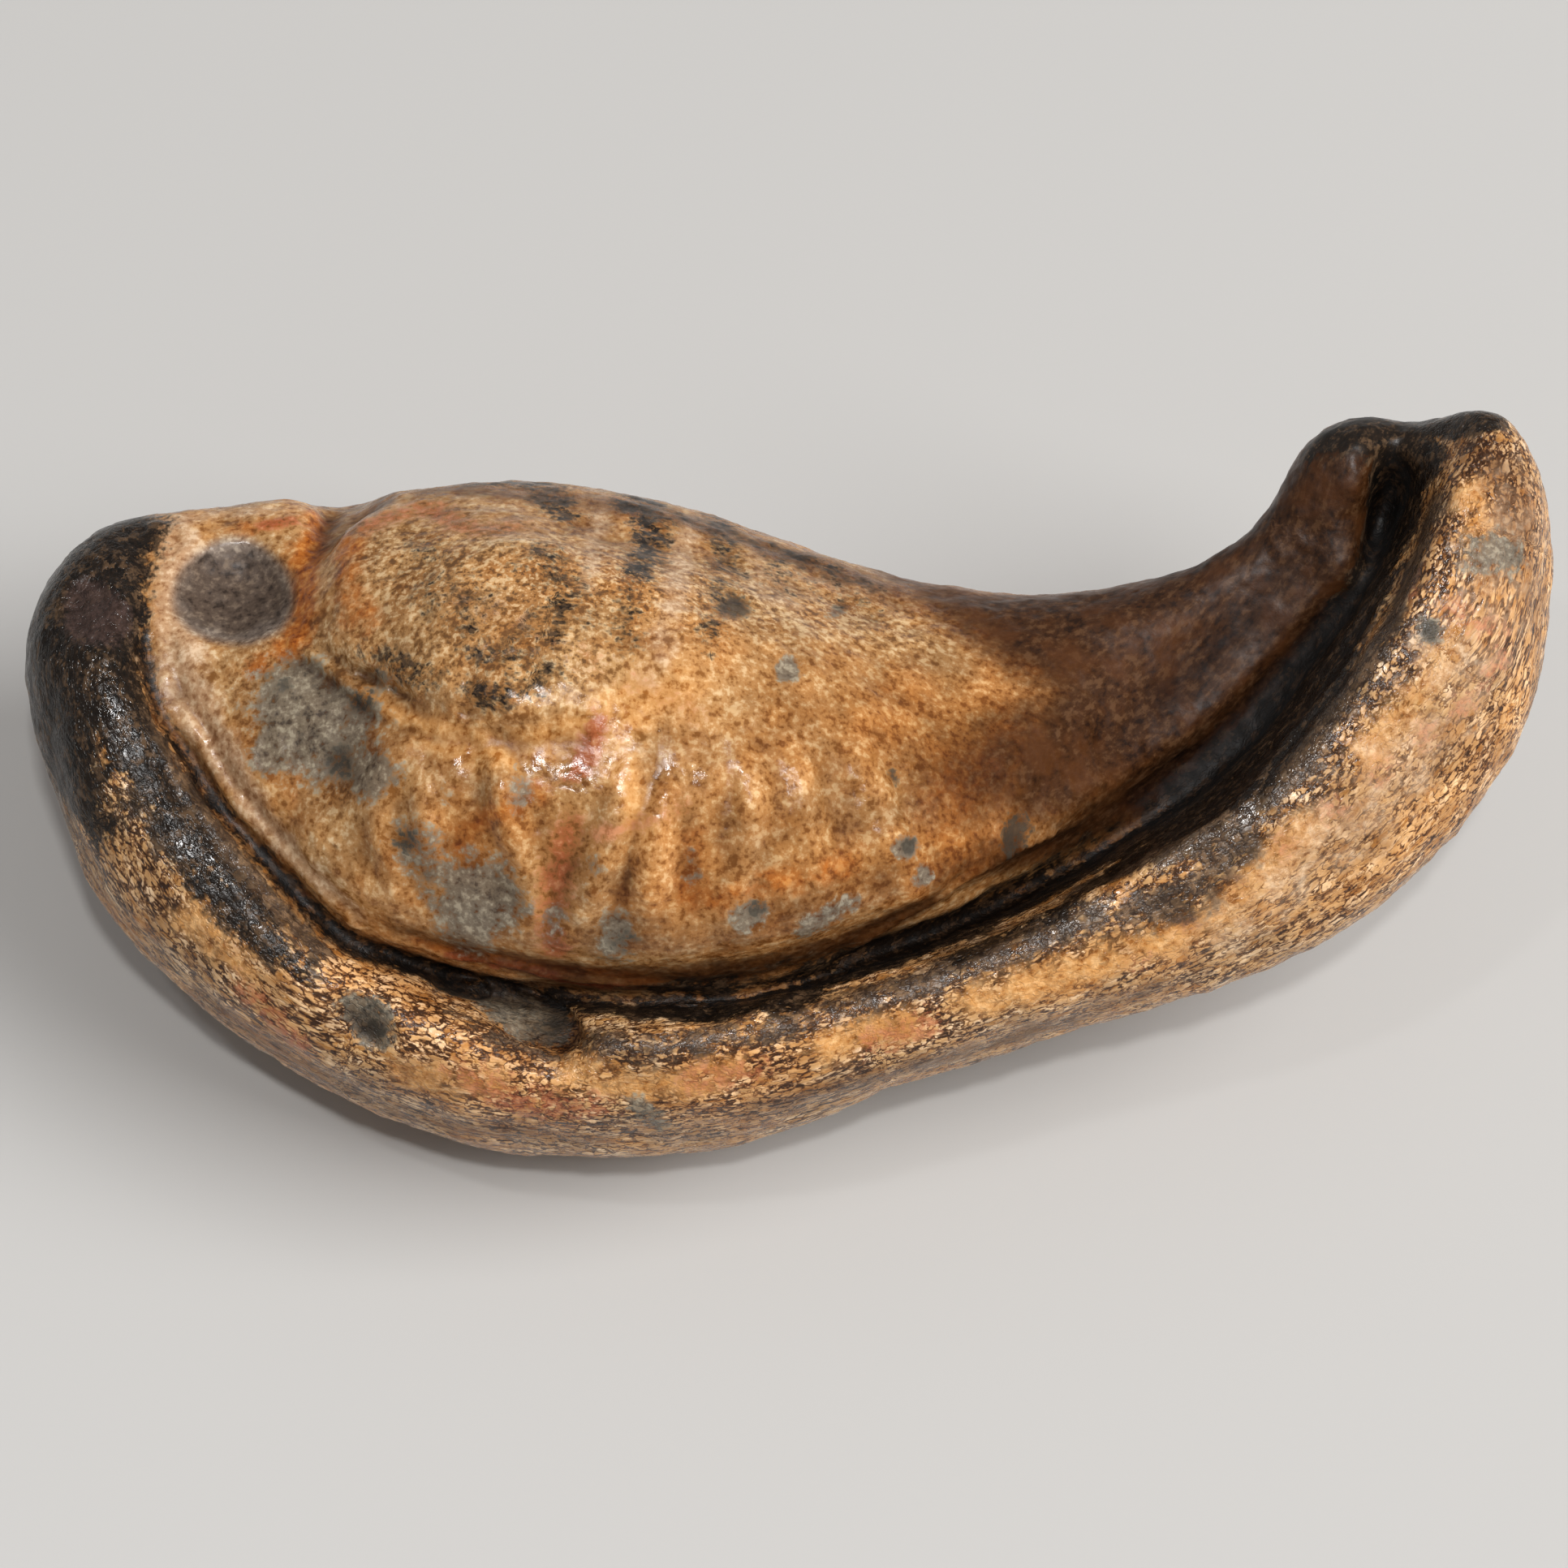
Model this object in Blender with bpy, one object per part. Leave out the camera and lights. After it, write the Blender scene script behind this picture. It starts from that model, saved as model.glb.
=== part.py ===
"""Fossil whale ear bone: one worn tympanic bulla, a solid curved like a short horn.

The bone is shaped lying flat, face up: X runs along its length from the blunt end
to the horn's tip, Y runs across its face from the lip to the crest, and Z comes
out of the face. It is then tipped forward onto its belly, the way it rests.
Sizes are in millimetres until the last step, which writes the mesh in metres.
"""

import math
from collections import namedtuple

import bmesh
import bpy
import numpy as np
from mathutils import Matrix, Vector
from mathutils.bvhtree import BVHTree

MM = 0.001
FACE_TIP_DEG = 27.0
PLACE = (-0.05, 0.2, 18.65)
CLAY_VOXEL = 0.7
SKIN_VOXEL = 0.5
TRIANGLES = 9600
RING_POINTS = 48
RINGS_PER_STATION = 4
ROUTE_STEPS = 8
BACK_LEAN = 0.35
SUNK_DEPTH = 7.0
SUNK_FADE = 2.0
PASSES = 3
SMOOTH_FACTOR = 0.5
CLAY_ROUNDS = 6
FORM_ROUNDS = 4
GROOVE_ROUNDS = 3
LAST_ROUNDS = 3
WELD = 0.02
WELL_ABOVE = 100.0
BONE_COLOUR = (0.38, 0.18, 0.06, 1.0)
BONE_ROUGHNESS = 0.4
SHARP_DEG = 50.0

# One station is one slice through the bone, from the lip's outer edge to the crest.
# lip and crest are (x, y, z) of its two edges, rise is how far the face bulges out
# of the line between them, and drop how far the back bulges the other way.
Station = namedtuple("Station", "lip crest rise drop")
STATIONS = (
    Station((-51.9, 7.4, -3.0), (-51.7, 10.4, -3.0), 1.5, 1.5),
    Station((-51.2, 3.2, -3.0), (-49.9, 14.4, -3.0), 5.5, 5.5),
    Station((-49.6, -0.8, -3.0), (-46.2, 17.9, -4.0), 8.0, 7.5),
    Station((-47.6, -6.6, -3.0), (-40.0, 18.9, -4.5), 10.5, 9.0),
    Station((-43.4, -12.2, -3.0), (-34.5, 19.6, -5.0), 12.5, 10.5),
    Station((-37.0, -17.4, -2.5), (-30.0, 19.7, -5.5), 14.5, 12.0),
    Station((-29.0, -22.0, -2.0), (-25.0, 20.4, -6.0), 16.0, 13.5),
    Station((-20.0, -25.0, -1.5), (-18.0, 20.9, -6.0), 17.0, 15.0),
    Station((-10.0, -25.5, -1.0), (-10.5, 20.0, -6.0), 17.0, 16.0),
    Station((-1.0, -24.1, -0.5), (-3.0, 17.9, -6.0), 16.0, 16.5),
    Station((7.0, -21.0, 0.0), (5.0, 15.1, -6.0), 14.0, 16.0),
    Station((15.5, -18.2, 0.5), (12.0, 13.5, -5.5), 12.0, 14.5),
    Station((24.0, -15.4, 1.0), (18.5, 13.1, -5.0), 10.5, 12.5),
    Station((32.5, -12.6, 1.5), (24.0, 13.8, -3.5), 9.5, 11.0),
    Station((40.5, -8.2, 2.0), (28.5, 15.2, -2.0), 9.0, 10.0),
    Station((46.4, -2.2, 2.5), (31.7, 17.4, -1.0), 8.5, 9.5),
    Station((50.0, 3.8, 3.0), (33.5, 20.1, 0.0), 8.0, 9.0),
    Station((51.6, 10.0, 3.0), (34.7, 22.7, 0.5), 7.5, 8.5),
    Station((52.0, 15.6, 3.0), (36.8, 24.3, 1.0), 6.5, 7.5),
    Station((51.1, 20.7, 3.0), (39.5, 25.0, 1.5), 5.6, 6.6),
    Station((48.0, 24.0, 2.5), (43.6, 25.2, 2.0), 3.6, 4.2),
)

# A stroke is one pass of the sculptor's tool. Each point is (x, y, reach, push): its
# place on the face, how far to either side the tool reaches, and how far it pushes
# the surface, out where push is positive and in where it is negative. Hardness is the
# share of the reach over which the push stays full. A sunk stroke goes straight down
# into the face, and the others push along the surface's own normals.
Stroke = namedtuple("Stroke", "what hardness sunk points")
FORMS = (
    Stroke("dome", 0.0, False, (
        (-27, 8, 13, 1.5), (-18, 5, 17, 4.5), (-6, 2, 17, 5.0), (5, 0, 15, 3.0), (14, 1, 11, 0.5))),
    Stroke("horn flank", 0.0, False, (
        (14, 4, 9, -0.5), (22, 5, 10, -1.8), (29, 9, 9, -2.4), (34.5, 15, 7, -2.0), (38, 20.5, 5, -1.2))),
    Stroke("flank's fall to the groove", 0.0, True, (
        (13, -5.5, 5, -1.0), (20, -1.5, 6, -2.4), (26, 3, 7, -3.2), (31, 7, 7, -3.2), (35.5, 11.5, 6, -2.6),
        (38.5, 16, 5, -1.6))),
    Stroke("lip", 0.15, False, (
        (-47, 10, 5, 0.8), (-44, -3, 6, 1.4), (-36, -12, 6.5, 1.6), (-24, -18, 7, 1.4), (-12, -19.5, 7, 1.2),
        (2, -17.6, 6.5, 1.6), (12, -13.6, 6, 2.4), (17.6, -10.9, 6, 2.8), (23.4, -7.7, 6, 3.2),
        (29.3, -3.8, 6, 3.6), (34.3, 0.4, 6, 3.8), (38.3, 5, 6, 3.8), (41.8, 9.4, 6, 3.6), (44, 13, 6, 3.2),
        (46, 18, 6, 2.6), (47.5, 22.6, 4.5, 1.5))),
    Stroke("lip's outer slope", 0.0, False, (
        (18, -15.5, 5, 0.3), (27, -11.5, 7, 1.2), (36.5, -5.5, 7, 1.5), (43, 1.5, 7, 1.5),
        (47.3, 9.5, 6, 1.3), (49.5, 17, 5, 0.6))),
    Stroke("dent in the lip's edge", 0.0, False, ((7.2, -22, 2.8, -0.6), (8, -21.6, 2.8, -0.6))),
    Stroke("knob of the tip", 0.2, False, ((46.2, 24.6, 2.8, 0.7), (47.2, 24.0, 2.8, 0.4))),
    Stroke("plate", 0.3, False, ((-37.5, 15, 9, -1.5), (-36, 8, 9, -1.6), (-32.5, 1.5, 8, -0.9))),
    Stroke("upper lobe", 0.35, False, ((-24.5, 17, 9, 0.9), (-19.5, 12.5, 10, 1.2), (-11, 11, 9, 0.5))),
)
FOLD_CENTRE = (-11.3, 17.9)
FOLD_REACH = (16.0, 21.0, 28.0, 32.0)
FOLD_FADE = (0.0, 0.8, 1.0, 0.3)
# Each fold on the dome is (degrees round the centre, half width, height).
FOLDS = (
    (-131, 1.5, 0.5),
    (-121, 1.5, 0.6),
    (-110, 1.8, 0.4),
    (-101, 1.8, 0.5),
    (-92, 1.6, 0.4),
    (-83, 1.8, 0.6),
    (-73, 1.9, 0.4),
    (-64, 1.9, 0.3),
)
GROOVES = (
    Stroke("groove", 0.4, True, (
        (-44.2, 17.4, 1.8, -0.9), (-42.6, 13.5, 1.9, -1.3), (-42.7, 9.7, 1.9, -1.5), (-41.3, 5.8, 2.0, -1.7),
        (-38.3, 0.3, 2.2, -1.9), (-34.4, -4.6, 2.4, -2.2), (-29.7, -9.6, 2.6, -2.8),
        (-23.4, -12.6, 2.9, -3.6), (-17.4, -13.6, 3.0, -3.8), (-9.0, -14.0, 2.8, -3.6),
        (-0.3, -12.8, 2.6, -4.0), (4.6, -11.4, 2.6, -4.8),
        (10.1, -9.6, 2.6, -5.6), (15.6, -7.2, 2.7, -6.4), (21.1, -4.2, 2.8, -7.0), (26.6, -0.6, 2.9, -7.4),
        (31.1, 3.1, 2.8, -7.0), (35.0, 7.6, 2.5, -6.2), (38.4, 11.9, 2.2, -5.0), (40.2, 14.4, 2.0, -4.2),
        (41.0, 17.4, 2.3, -5.6), (41.4, 19.0, 2.4, -4.8), (42.0, 21.2, 3.0, -3.0), (42.7, 23.4, 3.8, -2.4),
        (42.8, 25.0, 4.0, -2.2))),
    Stroke("dip at the tip", 0.0, False, ((42.8, 25.6, 3.0, -0.9), (42.8, 24.9, 3.0, -0.9))),
    Stroke("notch at the crest", 0.0, False, ((-30.0, 20.5, 3.6, -1.8), (-30.8, 16.5, 2.2, -1.2))),
    Stroke("crease", 0.1, False, (
        (-31.3, 17.0, 2.0, -1.2), (-32.2, 13.0, 2.0, -1.2), (-31.6, 9.6, 2.0, -1.1), (-28.5, 6.6, 2.0, -1.3),
        (-24.5, 4.4, 2.0, -1.2), (-19.0, 3.2, 2.0, -0.8), (-14.0, 2.0, 2.0, -0.4))),
    Stroke("round pit", 0.62, False, ((-37.4, 12.8, 4.4, -1.3), (-37.0, 12.7, 4.4, -1.3))),
    Stroke("triangular chip", 0.35, True, (
        (-22.3, -13.8, 1.6, -0.8), (-18.0, -15.6, 2.4, -2.0), (-14.8, -17.0, 2.6, -2.4))),
    Stroke("oval chip", 0.5, False, ((-29.0, -15.2, 1.5, -0.8), (-27.7, -16.6, 1.6, -0.9))),
    Stroke("hollow of the blunt end", 0.3, False, ((-46.4, 14.0, 2.2, -0.7), (-47.8, 11.2, 2.4, -0.8))),
)


def through(points, steps):
    """Points of a smooth curve through the given ones, `steps` to each gap."""
    knots = np.array(points, float)
    knots = np.vstack([2 * knots[0] - knots[1], knots, 2 * knots[-1] - knots[-2]])
    curve = []
    for before, start, end, after in zip(knots, knots[1:], knots[2:], knots[3:]):
        for t in np.arange(steps) / steps:
            curve.append(
                0.5
                * (
                    2 * start
                    + (end - before) * t
                    + (2 * before - 5 * start + 4 * end - after) * t**2
                    + (3 * start - before - 3 * end + after) * t**3
                )
            )
    curve.append(knots[-2])
    return np.array(curve)


def ring(lip, crest, rise, drop):
    """The closed outline of one slice: over the face from lip to crest, and back below."""
    points = []
    for step in range(RING_POINTS):
        angle = 2 * math.pi * step / RING_POINTS
        across = (1 - math.cos(angle)) / 2
        bulge = math.sin(angle)
        height = rise * bulge if bulge > 0 else drop * bulge * (1 + BACK_LEAN * (2 * across - 1))
        points.append(Vector(lip).lerp(Vector(crest), across) + Vector((0, 0, height)))
    return points


def rough_form():
    """The bone's lump of a body: rings through the stations, bridged and closed."""
    rows = [[*s.lip, *s.crest, s.rise, s.drop] for s in STATIONS]
    body = bmesh.new()
    loops = []
    for row in through(rows, RINGS_PER_STATION):
        verts = [body.verts.new(p) for p in ring(row[:3], row[3:6], row[6], row[7])]
        pairs = zip(verts, verts[1:] + verts[:1])
        loops.append([body.edges.new(pair) for pair in pairs])
    for near, far in zip(loops, loops[1:]):
        bmesh.ops.bridge_loops(body, edges=near + far)
    for end in (loops[0], loops[-1]):
        bmesh.ops.holes_fill(body, edges=end)
    bmesh.ops.recalc_face_normals(body, faces=body.faces)
    mesh = bpy.data.meshes.new("ear_bone")
    body.to_mesh(mesh)
    body.free()
    bone = bpy.data.objects.new("ear_bone", mesh)
    bpy.context.scene.collection.objects.link(bone)
    return bone


def shaped_by(bone, kind, **settings):
    """Runs one modifier on the bone and keeps its result as the mesh."""
    modifier = bone.modifiers.new(kind.title(), kind)
    for name, value in settings.items():
        setattr(modifier, name, value)
    bpy.context.view_layer.update()
    graph = bpy.context.evaluated_depsgraph_get()
    shaped = bpy.data.meshes.new_from_object(bone.evaluated_get(graph))
    bone.modifiers.clear()
    bone.data = shaped


def points_of(mesh, what="co"):
    """The mesh's vertex places, or with "normal" their directions, as rows of x, y, z."""
    values = np.empty(len(mesh.vertices) * 3, np.float32)
    mesh.vertices.foreach_get(what, values)
    return values.reshape(-1, 3).astype(float)


def on_face(bone, route):
    """The route's points laid onto the face from above, each as (x, y, z, reach, push)."""
    surface = BVHTree.FromObject(bone, bpy.context.evaluated_depsgraph_get())
    laid = []
    for x, y, reach, push in through(route, ROUTE_STEPS):
        hit = surface.ray_cast(Vector((x, y, WELL_ABOVE)), Vector((0, 0, -1)))[0]
        if hit is None:
            hit = surface.find_nearest(Vector((x, y, 0)))[0]
        laid.append((*hit, reach, push))
    return np.array(laid)


def press(bone, stroke, share=1.0):
    """Makes one stroke on the bone's mesh, or a share of its push."""
    laid = on_face(bone, stroke.points)
    places = points_of(bone.data)
    normals = points_of(bone.data, "normal")
    reach, push = laid[:, 3], laid[:, 4]
    gaps = places[:, None, :] - laid[None, :, :3]
    if stroke.sunk:
        gaps[:, :, 2] = 0
    apart = np.linalg.norm(gaps, axis=2) / reach
    nearest = apart.argmin(axis=1)
    rim = np.clip((apart.min(axis=1) - stroke.hardness) / (1 - stroke.hardness), 0, 1)
    push = push[nearest] * (1 - rim**2) ** 2 * share
    if stroke.sunk:
        depth = laid[nearest, 2] - places[:, 2]
        push *= np.clip((SUNK_DEPTH - depth) / SUNK_FADE, 0, 1)
        normals = np.array([[0.0, 0.0, 1.0]])
    places += normals * push[:, None]
    bone.data.vertices.foreach_set("co", places.astype(np.float32).ravel())
    bone.data.update()


def fold(turn, width, height):
    """One raised fold of the dome, running out from the centre of the fan."""
    turn = math.radians(turn)
    points = []
    for out, share in zip(FOLD_REACH, FOLD_FADE):
        x, y = FOLD_CENTRE[0] + out * math.cos(turn), FOLD_CENTRE[1] + out * math.sin(turn)
        points.append((x, y, width, height * share))
    return Stroke("fold", 0.0, False, points)


def smoothed(bone, rounds):
    """Evens the surface out, each point towards its neighbours."""
    shaped_by(bone, "SMOOTH", factor=SMOOTH_FACTOR, iterations=rounds)


def reskinned(bone, voxel, rounds):
    """Covers the bone with even small faces again, and smooths them."""
    shaped_by(bone, "REMESH", mode="VOXEL", voxel_size=voxel)
    smoothed(bone, rounds)


def stood_on_its_flat(bone):
    """Cuts the belly off level with the floor, and closes it with one flat face."""
    body = bmesh.new()
    body.from_mesh(bone.data)
    whole = body.verts[:] + body.edges[:] + body.faces[:]
    cut = bmesh.ops.bisect_plane(body, geom=whole, plane_co=(0, 0, 0), plane_no=(0, 0, 1), clear_inner=True)
    rim = [part for part in cut["geom_cut"] if isinstance(part, bmesh.types.BMEdge)]
    bmesh.ops.holes_fill(body, edges=rim)
    bmesh.ops.remove_doubles(body, verts=body.verts, dist=WELD)
    bmesh.ops.triangulate(body, faces=[face for face in body.faces if len(face.verts) > 3])
    bmesh.ops.recalc_face_normals(body, faces=body.faces)
    body.to_mesh(bone.data)
    body.free()


def finish(bone):
    """Gives the bone its one material and a smooth skin, with an edge round the flat."""
    skin = bpy.data.materials.new("fossil_bone")
    skin.use_nodes = True
    shader = skin.node_tree.nodes["Principled BSDF"]
    shader.inputs["Base Color"].default_value = BONE_COLOUR
    shader.inputs["Roughness"].default_value = BONE_ROUGHNESS
    shader.inputs["Metallic"].default_value = 0.0
    bone.data.materials.append(skin)
    bone.data.shade_smooth()
    bone.data.set_sharp_from_angle(angle=math.radians(SHARP_DEG))


def main():
    for obj in list(bpy.data.objects):
        bpy.data.objects.remove(obj)
    bone = rough_form()
    reskinned(bone, CLAY_VOXEL, CLAY_ROUNDS)
    for form in FORMS:
        press(bone, form)
    reskinned(bone, SKIN_VOXEL, FORM_ROUNDS)
    for raised in FOLDS:
        press(bone, fold(*raised))
    for _ in range(PASSES):
        for groove in GROOVES:
            press(bone, groove, 1 / PASSES)
        reskinned(bone, SKIN_VOXEL, GROOVE_ROUNDS)
    smoothed(bone, LAST_ROUNDS)
    tip = Matrix.Rotation(math.radians(FACE_TIP_DEG), 4, "X")
    bone.data.transform(Matrix.Translation(Vector(PLACE)) @ tip)
    bone.data.calc_loop_triangles()
    share_kept = TRIANGLES / len(bone.data.loop_triangles)
    shaped_by(bone, "DECIMATE", ratio=share_kept, use_collapse_triangulate=True)
    stood_on_its_flat(bone)
    bone.data.transform(Matrix.Scale(MM, 4))
    finish(bone)


main()
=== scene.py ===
# %% [markdown]
# # A fossil whale ear bone
#
# This is the ear bone of a whale, turned to stone and worn smooth. It is one piece: a
# thick blunt end, a domed body, and a horn that curves up. A rolled lip runs along one
# side, and a deep groove parts it from the dome.
#
# The plain solid of the bone is already there, at its real size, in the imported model.
# This lesson takes a copy of it, carves the fine forms, paints where each stain lies,
# and builds one material that mixes the bone's colours.

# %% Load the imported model
import math

import bpy
import numpy as np
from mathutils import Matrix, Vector
from mathutils.bvhtree import BVHTree


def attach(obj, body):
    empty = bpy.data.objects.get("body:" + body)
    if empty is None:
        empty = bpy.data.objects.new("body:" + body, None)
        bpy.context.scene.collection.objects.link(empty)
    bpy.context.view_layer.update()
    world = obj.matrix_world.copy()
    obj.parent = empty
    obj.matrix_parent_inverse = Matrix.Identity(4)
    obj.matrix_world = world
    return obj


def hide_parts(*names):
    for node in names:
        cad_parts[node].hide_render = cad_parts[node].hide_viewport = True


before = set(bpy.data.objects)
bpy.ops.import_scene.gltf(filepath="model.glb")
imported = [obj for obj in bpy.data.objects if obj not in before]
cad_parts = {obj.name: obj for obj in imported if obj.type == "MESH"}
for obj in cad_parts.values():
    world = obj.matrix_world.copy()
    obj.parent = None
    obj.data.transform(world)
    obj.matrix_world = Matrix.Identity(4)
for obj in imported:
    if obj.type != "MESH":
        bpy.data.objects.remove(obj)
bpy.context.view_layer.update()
print("nodes:", sorted(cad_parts))

# %% [markdown]
# ## Where the camera stands
#
# The bone lies tipped forward, so that its face looks up and to the front. The camera
# looks straight at that face. Everything on the face is then easy to place: x runs to
# the right, y runs up and z comes out towards the camera, in millimetres, from the
# middle of the face, just as one would measure on a print of the photograph.

# %% Set the camera square to the face
MM = 0.001
FACE_TIP = math.radians(27)
FACE_MIDDLE = np.array((-0.05, 0.2, 18.65)) * MM
CAMERA_DISTANCE = 443
LENS_MM = 150
SENSOR_MM = 36

face_axes = np.array((
    (1, 0, 0),
    (0, math.cos(FACE_TIP), math.sin(FACE_TIP)),
    (0, -math.sin(FACE_TIP), math.cos(FACE_TIP)),
))


def to_face(places):
    """Places in metres in the room, as millimetres on the face."""
    return (np.asarray(places) - FACE_MIDDLE) @ face_axes.T / MM


def to_room(places):
    """Millimetres on the face, as places in metres in the room."""
    return np.asarray(places) @ face_axes * MM + FACE_MIDDLE


eye = Vector(to_room((0, 0, CAMERA_DISTANCE)))
bpy.ops.object.camera_add(location=eye, rotation=(FACE_TIP, 0, 0))
camera = bpy.context.object
camera.data.lens = LENS_MM
camera.data.sensor_width = SENSOR_MM
camera.data.clip_start = 10 * MM
bpy.context.scene.camera = camera
print("the frame is", round(CAMERA_DISTANCE * SENSOR_MM / LENS_MM, 1), "mm wide at the face")

# %% [markdown]
# ## A lump to carve
#
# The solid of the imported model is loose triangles. A copy of it is merged into one
# skin, then covered again with small even squares by a voxel remesh, as a sculptor
# covers a rough block with fine clay. A few rounds of smoothing melt the old facets.

# %% Copy the solid and give it an even skin
SKIN_SIZE = 0.42 * MM
WELD = 0.01 * MM
FACET_ROUNDS = 12


def run_modifier(piece, kind, **settings):
    """Adds one modifier to the piece and applies it, as by hand."""
    bpy.context.view_layer.objects.active = piece
    modifier = piece.modifiers.new(kind.title(), kind)
    for name, value in settings.items():
        setattr(modifier, name, value)
    bpy.ops.object.modifier_apply(modifier=modifier.name)


def new_skin(piece, size, rounds):
    """Covers the piece with even squares again and smooths it."""
    run_modifier(piece, "REMESH", mode="VOXEL", voxel_size=size)
    run_modifier(piece, "SMOOTH", factor=0.5, iterations=rounds)


bpy.ops.object.select_all(action="DESELECT")
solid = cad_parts["ear_bone"]
bone = solid.copy()
bone.data = solid.data.copy()
bone.name = "bone"
bone.data.materials.clear()
bpy.context.scene.collection.objects.link(bone)
bpy.context.view_layer.objects.active = bone
bone.select_set(True)
bpy.ops.object.mode_set(mode="EDIT")
bpy.ops.mesh.select_all(action="SELECT")
bpy.ops.mesh.remove_doubles(threshold=WELD)
bpy.ops.object.mode_set(mode="OBJECT")
new_skin(bone, SKIN_SIZE, FACET_ROUNDS)
print("skin:", len(bone.data.vertices), "points")

# %% [markdown]
# ## A stroke of the tool
#
# A sculpting brush needs a window and a hand, so here a stroke is a few lines of code.
# Its route is a short list of points on the face. The route is bent into a smooth
# curve, dropped from the camera onto the bone, and every point of the skin near it is
# moved: most on the route, and less and less out to the tool's reach.

# %% Bend a route into a smooth curve
STEPS = 8


def curve_through(points, steps=STEPS):
    """Rows of a smooth curve through the given rows, with `steps` to each gap."""
    knots = np.array(points, float)
    if len(knots) == 1:
        return knots
    knots = np.vstack([2 * knots[0] - knots[1], knots, 2 * knots[-1] - knots[-2]])
    rows = []
    for before, start, end, after in zip(knots, knots[1:], knots[2:], knots[3:]):
        for t in np.arange(steps) / steps:
            bend = (2 * before - 5 * start + 4 * end - after) * t**2
            turn = (3 * start - before - 3 * end + after) * t**3
            rows.append((2 * start + (end - before) * t + bend + turn) / 2)
    return np.array(rows + [knots[-2]])


def values_of(points, what, width=3):
    """One property of all the points of a mesh, as rows."""
    values = np.empty(len(points) * width, np.float32)
    points.foreach_get(what, values)
    return values.reshape(-1, width).astype(float)


# %% [markdown]
# A class holds the skin while it is worked: its points, the way that each one faces, and
# the few things that one does to it. The strokes are pushes along a route. The pits are
# dishes, and the chips are slanted cuts, since a flake breaks off along one flat plane.

# %% Make the sculptor's skin
DISH_WALL = 0.6
CHIP_WALL = 0.12


class Skin:
    """The bone's surface as it is now, in millimetres on the face."""

    def __init__(self, piece):
        self.piece = piece
        self.tree = BVHTree.FromObject(piece, bpy.context.evaluated_depsgraph_get())
        self.places = to_face(values_of(piece.data.vertices, "co"))
        self.normals = values_of(piece.data.vertices, "normal") @ face_axes.T

    def spot(self, x, y):
        """The place on the bone that the camera sees at x, y on the face."""
        aim = Vector(to_room((x, y, 0)))
        hit = self.tree.ray_cast(eye, (aim - eye).normalized())[0]
        return to_face(hit if hit is not None else self.tree.find_nearest(aim)[0])

    def nearness(self, route, hardness=0.0):
        """Which points feel the stroke, how strongly, and the stroke's value there.

        A route's rows are (x, y, reach, value)."""
        rows = curve_through(route)
        spots = np.array([self.spot(x, y) for x, y in rows[:, :2]])
        reach = rows[:, 2]
        low = spots.min(axis=0) - reach.max()
        high = spots.max(axis=0) + reach.max()
        near = np.flatnonzero(np.all((self.places > low) & (self.places < high), axis=1))
        here = self.places[near]
        square = (here**2).sum(1)[:, None] + (spots**2).sum(1) - 2 * here @ spots.T
        gaps = np.sqrt(np.maximum(square, 0)) / reach
        closest = gaps.argmin(axis=1)
        rim = np.clip((gaps.min(axis=1) - hardness) / (1 - hardness), 0, 1)
        return near, (1 - rim**2) ** 2, rows[closest, 3]

    def push(self, route, hardness=0.0, sunk=False):
        """Moves the skin by the route's values: outwards, or straight at the camera if sunk."""
        near, feel, value = self.nearness(route, hardness)
        ways = np.array([[0, 0, 1]]) if sunk else self.normals[near]
        self.places[near] += ways * (feel * value)[:, None]

    def oval(self, x, y, long, wide, turn):
        """Each point's distance from an oval's middle, where 1 is its edge, and its place along it."""
        away = self.places - self.spot(x, y)
        c, s = math.cos(math.radians(turn)), math.sin(math.radians(turn))
        along = (away[:, 0] * c + away[:, 1] * s) / long
        across = (away[:, 1] * c - away[:, 0] * s) / wide
        return np.sqrt(along**2 + across**2 + (away[:, 2] / (long + wide)) ** 2), along

    def dish(self, x, y, long, wide, turn, depth):
        """Hollows an oval with a crisp edge."""
        apart, _ = self.oval(x, y, long, wide, turn)
        self.places[:, 2] -= depth * np.clip(1 - apart**2, 0, 1) ** DISH_WALL

    def chip(self, x, y, long, wide, turn, depth):
        """Breaks out an oval whose flat floor slopes down to a wall at its right end."""
        apart, along = self.oval(x, y, long, wide, turn)
        slope = np.clip((1 + along) / 2, 0, 1)
        self.places[:, 2] -= depth * slope * np.clip((1 - apart) / CHIP_WALL, 0, 1)

    def keep(self):
        """Writes the moved places back to the mesh."""
        places = to_room(self.places).astype(np.float32)
        self.piece.data.vertices.foreach_set("co", places.ravel())
        self.piece.data.update()


print("the skin has", len(Skin(bone).places), "places to move")

# %% [markdown]
# ## The groove
#
# The groove is the form that one sees first: a shadow that parts the rolled lip from
# the dome. The plain solid has it, with soft walls. Two passes of the tool sink it
# further, with a new skin after each so that no square is stretched long.

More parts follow.
